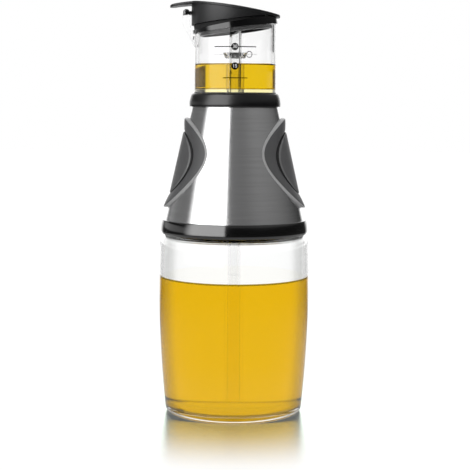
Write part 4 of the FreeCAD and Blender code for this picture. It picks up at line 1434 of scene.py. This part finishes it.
@dataclass
class Studio:
    """White floor, tall softbox, soft lamps, plain world and the camera.

    A span says where a level starts and stops changing: on the floor in metres from the object, and for a
    direction as its share along an axis.
    """

    floor_radius: float = 4.0
    floor_shine: Colour = (0.66, 0.74, 0.66, 1)
    floor_matt: Colour = (0.8, 0.8, 0.8, 1)
    floor_white: float = 1.05
    floor_mirror: float = 0.91
    floor_fade: Pair = (0.045, 0.14)
    floor_grain: float = 0.14
    floor_clear: Pair = (0.06, 0.15)
    dim_light: Pair = (0.6, 0.05)
    dim_span: Pair = (0.1, 0.5)
    behind_light: float = 1.3
    behind_span: Pair = (0.2, 0.6)
    clear_light: float = 1.02
    haze_light: float = 0.3
    front_span: Pair = (0.2, 0.5)
    dark_share: float = 0.02
    dark_right: Pair = (0.50, 0.57)
    dark_left: Pair = (-0.84, -0.78)
    dark_top: Pair = (0.09, 0.13)
    dark_back: Pair = (-0.05, 0.12)
    backdrop_light: float = 1.7
    backdrop_span: Pair = (0.80, 0.95)
    ambient: float = 0.4
    horizon_light: float = 0.04
    room_light: float = 0.3
    room_span: Pair = (0.20, 0.40)
    left_light: float = 0.62
    left_span: Pair = (-0.75, -0.45)
    left_top: Pair = (0.10, 0.16)
    right_light: float = 0.12
    right_span: Pair = (0.2, 0.8)
    right_foot: Pair = (0.1, 0.25)
    softbox_distance: float = 1.0
    softbox_right: float = -14.1
    softbox_left: float = -100.0
    softbox_fade: Pair = (-0.42, -0.08)
    softbox_height: float = 1.6
    softbox_light: float = 4.5
    overhead_power: float = 18.0
    front_power: float = 5.0
    camera_distance: float = 0.730
    camera_height: float = 0.178
    camera_pitch: float = 5.93
    camera_roll: float = 0.35
    lens: float = 97.35

    def staged(self, name: str, bm: Solid, finish: Material) -> bpy.types.Object:
        """Make a studio object.

        Args:
            name: Its name.
            bm: Its mesh, in metres. It is freed.
            finish: Its material.

        Returns:
            The object.
        """
        mesh = bpy.data.meshes.new(name)
        bm.to_mesh(mesh)
        bm.free()
        mesh.materials.append(finish)
        obj = bpy.data.objects.new(name, mesh)
        bpy.context.scene.collection.objects.link(obj)
        return obj

    def haze(self, recipe: Recipe) -> Socket:
        """Tell light that a clear part reflected inside and that left it after two bends at most.

        Args:
            recipe: The node tree.

        Returns:
            1 for such light, else 0.
        """
        path = recipe.add("LightPath").outputs
        mirrored = recipe.sum("GREATER_THAN", path["Glossy Depth"], 0.5)
        return recipe.sum("MULTIPLY", mirrored, recipe.sum("LESS_THAN", path["Transmission Depth"], 2.5))

    def build_floor(self) -> None:
        """Lay the floor.

        The eye sees it white, and satin near the object, where it keeps the shadow and a soft reflection.
        Bent light sees it white. Reflections see it dim, and white behind the object.
        """
        recipe = Recipe("floor")
        path = recipe.add("LightPath").outputs
        place = recipe.place((1, 1, 0))
        away = recipe.add("VectorMath", {"0": place}, operation="LENGTH").outputs["Value"]
        way = recipe.add("VectorMath", {"0": place}, operation="NORMALIZE").outputs["Vector"]
        ahead = recipe.add("SeparateXYZ", {"Vector": way}).outputs["Y"]
        links = {"Value": ahead, "To Min": 1.0, "To Max": 0.0}
        links["From Min"], links["From Max"] = self.front_span
        front = recipe.add("MapRange", links).outputs["Result"]
        front = recipe.sum("MULTIPLY", front, recipe.step(away, self.floor_clear, 0.0, 1.0))
        haze = recipe.sum("MULTIPLY", self.haze(recipe), front)
        clean = recipe.glow(recipe.between(haze, self.clear_light, self.haze_light))
        half = self.floor_grain / 2
        grain = recipe.add("TexWhiteNoise", {"Vector": recipe.place((9000, 9000, 1))}).outputs["Color"]
        spread = recipe.add("VectorMath", {
            "0": grain, "1": (self.floor_grain, self.floor_grain, 0), "2": (-half, -half, 1),
        }, operation="MULTIPLY_ADD")
        tilted = recipe.add("VectorMath", {"0": spread.outputs["Vector"]}, operation="NORMALIZE")
        satin = recipe.add("BsdfAnisotropic", {
            "Color": self.floor_shine, "Roughness": 0.0, "Normal": tilted.outputs["Vector"]})
        share = recipe.step(away, self.floor_fade, self.floor_mirror, 0.0)
        matt = recipe.add("BsdfDiffuse", {"Color": self.floor_matt})
        bright = recipe.mix(share, recipe.glow(self.floor_white), satin)
        seen = recipe.mix(path["Is Camera Ray"], matt, bright)
        plain = recipe.mix(path["Is Transmission Ray"], seen, clean)
        behind = recipe.step(ahead, self.backdrop_span, 0.0, self.behind_light)
        behind = recipe.sum("MULTIPLY", behind, recipe.step(away, self.behind_span, 0.0, 1.0))
        dim = recipe.glow(recipe.sum("MAXIMUM", recipe.step(away, self.dim_span, *self.dim_light), behind))
        glossy = recipe.sum("SUBTRACT", path["Is Glossy Ray"], path["Is Transmission Ray"], clamp=True)
        both = recipe.mix(glossy, plain, dim)
        bm = bmesh.new()
        bmesh.ops.create_circle(bm, cap_ends=True, segments=96, radius=self.floor_radius)
        self.staged("floor", bm, recipe.finish(both))

    def build_softbox(self) -> None:
        """Stand a tall curved softbox at the left, seen in reflections only, which fades out at its back."""
        recipe = Recipe("softbox")
        across = recipe.add("SeparateXYZ", {"Vector": recipe.place()}).outputs["Y"]
        span = tuple(share * self.softbox_distance for share in self.softbox_fade)
        fade = recipe.step(across, span, 0.0, 1.0)
        open_end = recipe.add("BsdfTransparent", {"Color": WHITE})
        glow = recipe.mix(fade, recipe.glow(self.softbox_light), open_end)
        bm = bmesh.new()
        start = math.radians(-90 + self.softbox_right)
        low = Vector((math.cos(start), math.sin(start), 0)) * self.softbox_distance
        foot = bm.verts.new(low)
        head = bm.verts.new(low + Vector((0, 0, self.softbox_height)))
        edge = bm.edges.new((foot, head))
        bmesh.ops.spin(
            bm, geom=[foot, head, edge], cent=(0, 0, 0), axis=(0, 0, 1), dvec=(0, 0, 0),
            angle=math.radians(self.softbox_left - self.softbox_right), steps=48, use_merge=False,
            use_duplicate=False)
        softbox = self.staged("softbox", bm, recipe.finish(glow))
        softbox.visible_camera = False
        softbox.visible_diffuse = False
        softbox.visible_transmission = False
        softbox.visible_shadow = False

    def lamp(self, name: str, place: Point, size: Pair, power: float) -> None:
        """Hang an area lamp that faces the object and lights matt surfaces only.

        Args:
            name: Name of the lamp.
            place: Where it hangs, in metres.
            size: Width and height in metres.
            power: Power in watts.
        """
        data = bpy.data.lights.new(name, "AREA")
        data.shape = "RECTANGLE"
        data.size, data.size_y = size
        data.energy = power
        lamp = bpy.data.objects.new(name, data)
        lamp.location = place
        aim = Vector((0, 0, 0.1)) - lamp.location
        lamp.rotation_euler = aim.to_track_quat("-Z", "Y").to_euler()
        lamp.visible_glossy = False
        lamp.visible_transmission = False
        lamp.visible_camera = False
        bpy.context.scene.collection.objects.link(lamp)

    def build_world(self) -> None:
        """Make the world: white where it is seen, and plain levels for reflections and matt surfaces.

        Reflections see white close behind the object, grey above and at the sides, and near black at the
        horizon. The floor's own reflection sees white. Light bent by the cup sees the backdrop's dark ends at
        the right and left.
        """
        recipe = Recipe("studio", world=True)
        bpy.context.scene.world = recipe.owner
        path = recipe.add("LightPath").outputs
        way = recipe.add("SeparateXYZ", {"Vector": recipe.add("TexCoord").outputs["Generated"]}).outputs
        across, back, up = way["X"], way["Y"], way["Z"]

        def both(first: Socket, second: Socket) -> Socket:
            """Product of two levels."""
            return recipe.sum("MULTIPLY", first, second)

        def most(first: Socket, second: Socket) -> Socket:
            """Greater of two levels."""
            return recipe.sum("MAXIMUM", first, second)

        left = recipe.step(across, self.left_span, self.left_light, 0.0)
        left = both(left, recipe.step(up, self.left_top, 1.0, 0.0))
        right = recipe.step(across, self.right_span, 0.0, self.right_light)
        right = both(right, recipe.step(up, self.right_foot, 0.0, 1.0))
        glossy = most(recipe.step(up, self.room_span, self.horizon_light, self.room_light), left)
        glossy = recipe.sum("ADD", glossy, right)
        glossy = most(glossy, recipe.step(back, self.backdrop_span, 0.0, self.backdrop_light))
        unbent = both(path["Is Singular Ray"], recipe.sum("LESS_THAN", path["Transmission Depth"], 0.5))
        glossy = recipe.choose(unbent, glossy, self.backdrop_light)

        white, dark = self.clear_light, self.clear_light * self.dark_share
        bent = both(
            recipe.step(across, self.dark_right, 1.0, dark), recipe.step(across, self.dark_left, dark, white))
        bent = most(bent, recipe.step(up, self.dark_top, 0.0, white))
        bent = most(bent, recipe.step(back, self.dark_back, white, 0.0))
        haze = both(self.haze(recipe), recipe.step(back, self.front_span, 1.0, 0.0))
        bent = recipe.choose(haze, bent, self.haze_light)

        level = recipe.choose(path["Is Glossy Ray"], self.ambient, glossy)
        level = recipe.choose(path["Is Transmission Ray"], level, bent)
        level = recipe.choose(path["Is Camera Ray"], level, 1.0)
        recipe.finish(recipe.add("Background", {"Color": WHITE, "Strength": level}))

    def build_camera(self) -> None:
        """Set the camera at the photograph's viewing angle."""
        data = bpy.data.cameras.new("camera")
        data.sensor_width = 36
        data.lens = self.lens
        data.clip_start = 0.01
        camera = bpy.data.objects.new("camera", data)
        camera.location = (0, -self.camera_distance, self.camera_height)
        camera.rotation_euler = (
            math.radians(90 - self.camera_pitch), math.radians(-self.camera_roll), 0)
        bpy.context.scene.collection.objects.link(camera)
        bpy.context.scene.camera = camera

    def build(self) -> None:
        """Set up floor, world, lamps and camera."""
        self.build_floor()
        self.build_world()
        self.build_softbox()
        self.lamp("overhead", (0.0, 0.35, 1.4), (0.7, 0.7), self.overhead_power)
        self.lamp("front", (0.0, -1.4, 0.8), (1.0, 0.8), self.front_power)
        self.build_camera()
        bpy.context.scene.view_settings.view_transform = "Standard"


def main() -> None:
    """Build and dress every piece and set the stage."""
    logging.basicConfig(level=logging.INFO, format="%(name)s: %(message)s")
    clear, black, satin = CLEAR_PLASTIC.make(), BLACK_GLOSS.make(), BLACK_SATIN.make()
    lid_grey, surface = LID_GREY.make(), OIL_SURFACE.make()

    jar = Jar()
    jar.build_glass(GLASS.make())
    jar.build_oil(JAR_OIL.make(), surface, PAINTED_SHADE_LINE.make())
    Tubes().build(CLEAR_TUBE.make(), WET_TUBE.make())

    head = PumpHead()
    head.build_sleeve(BRUSHED_STEEL.make())
    head.build_collar(black)
    head.build_top_ring(satin)
    grip_grey, button_grey = GRIP_GREY.make(), BUTTON_GREY.make()
    grip_edge, button_edge, gap_shade = GRIP_PAINTED_HIGHLIGHT.make(), BUTTON_PAINTED_HIGHLIGHT.make(), PAINTED_GAP_SHADE.make()
    for side in Side:
        grip = Grip(side)
        grip.build_ring(grip_grey, grip_edge, gap_shade)
        grip.build_button(button_grey, button_edge, gap_shade)

    cup = Cup()
    cup.build_cup(clear, PAINTED_OIL_GLOW.make())
    cup.build_ears(clear)
    cup.build_caps(black)
    cup.build_oil(CUP_OIL.make(), surface)
    Scale().build(PRINT_BLACK.make(), PRINT_WHITE.make(), PRINT_GREY.make())
    PourCollar().build(BLACK_POLISH.make(), gap_shade)

    lid = Lid()
    lid.build_wall(lid_grey)
    lid.build_plate(lid_grey)
    lid.build_tongue(lid_grey)
    lid.build_knuckle(lid_grey)

    inner = InnerParts()
    inner.dress(inner.black, INNER_BLACK.make())
    inner.dress(inner.rubber, SILICONE.make())
    inner.dress(inner.clear, clear)
    inner.dress(inner.steel, PIN_STEEL.make())

    Studio().build()
    log.info("all pieces made")


if __name__ == "__main__":
    main()
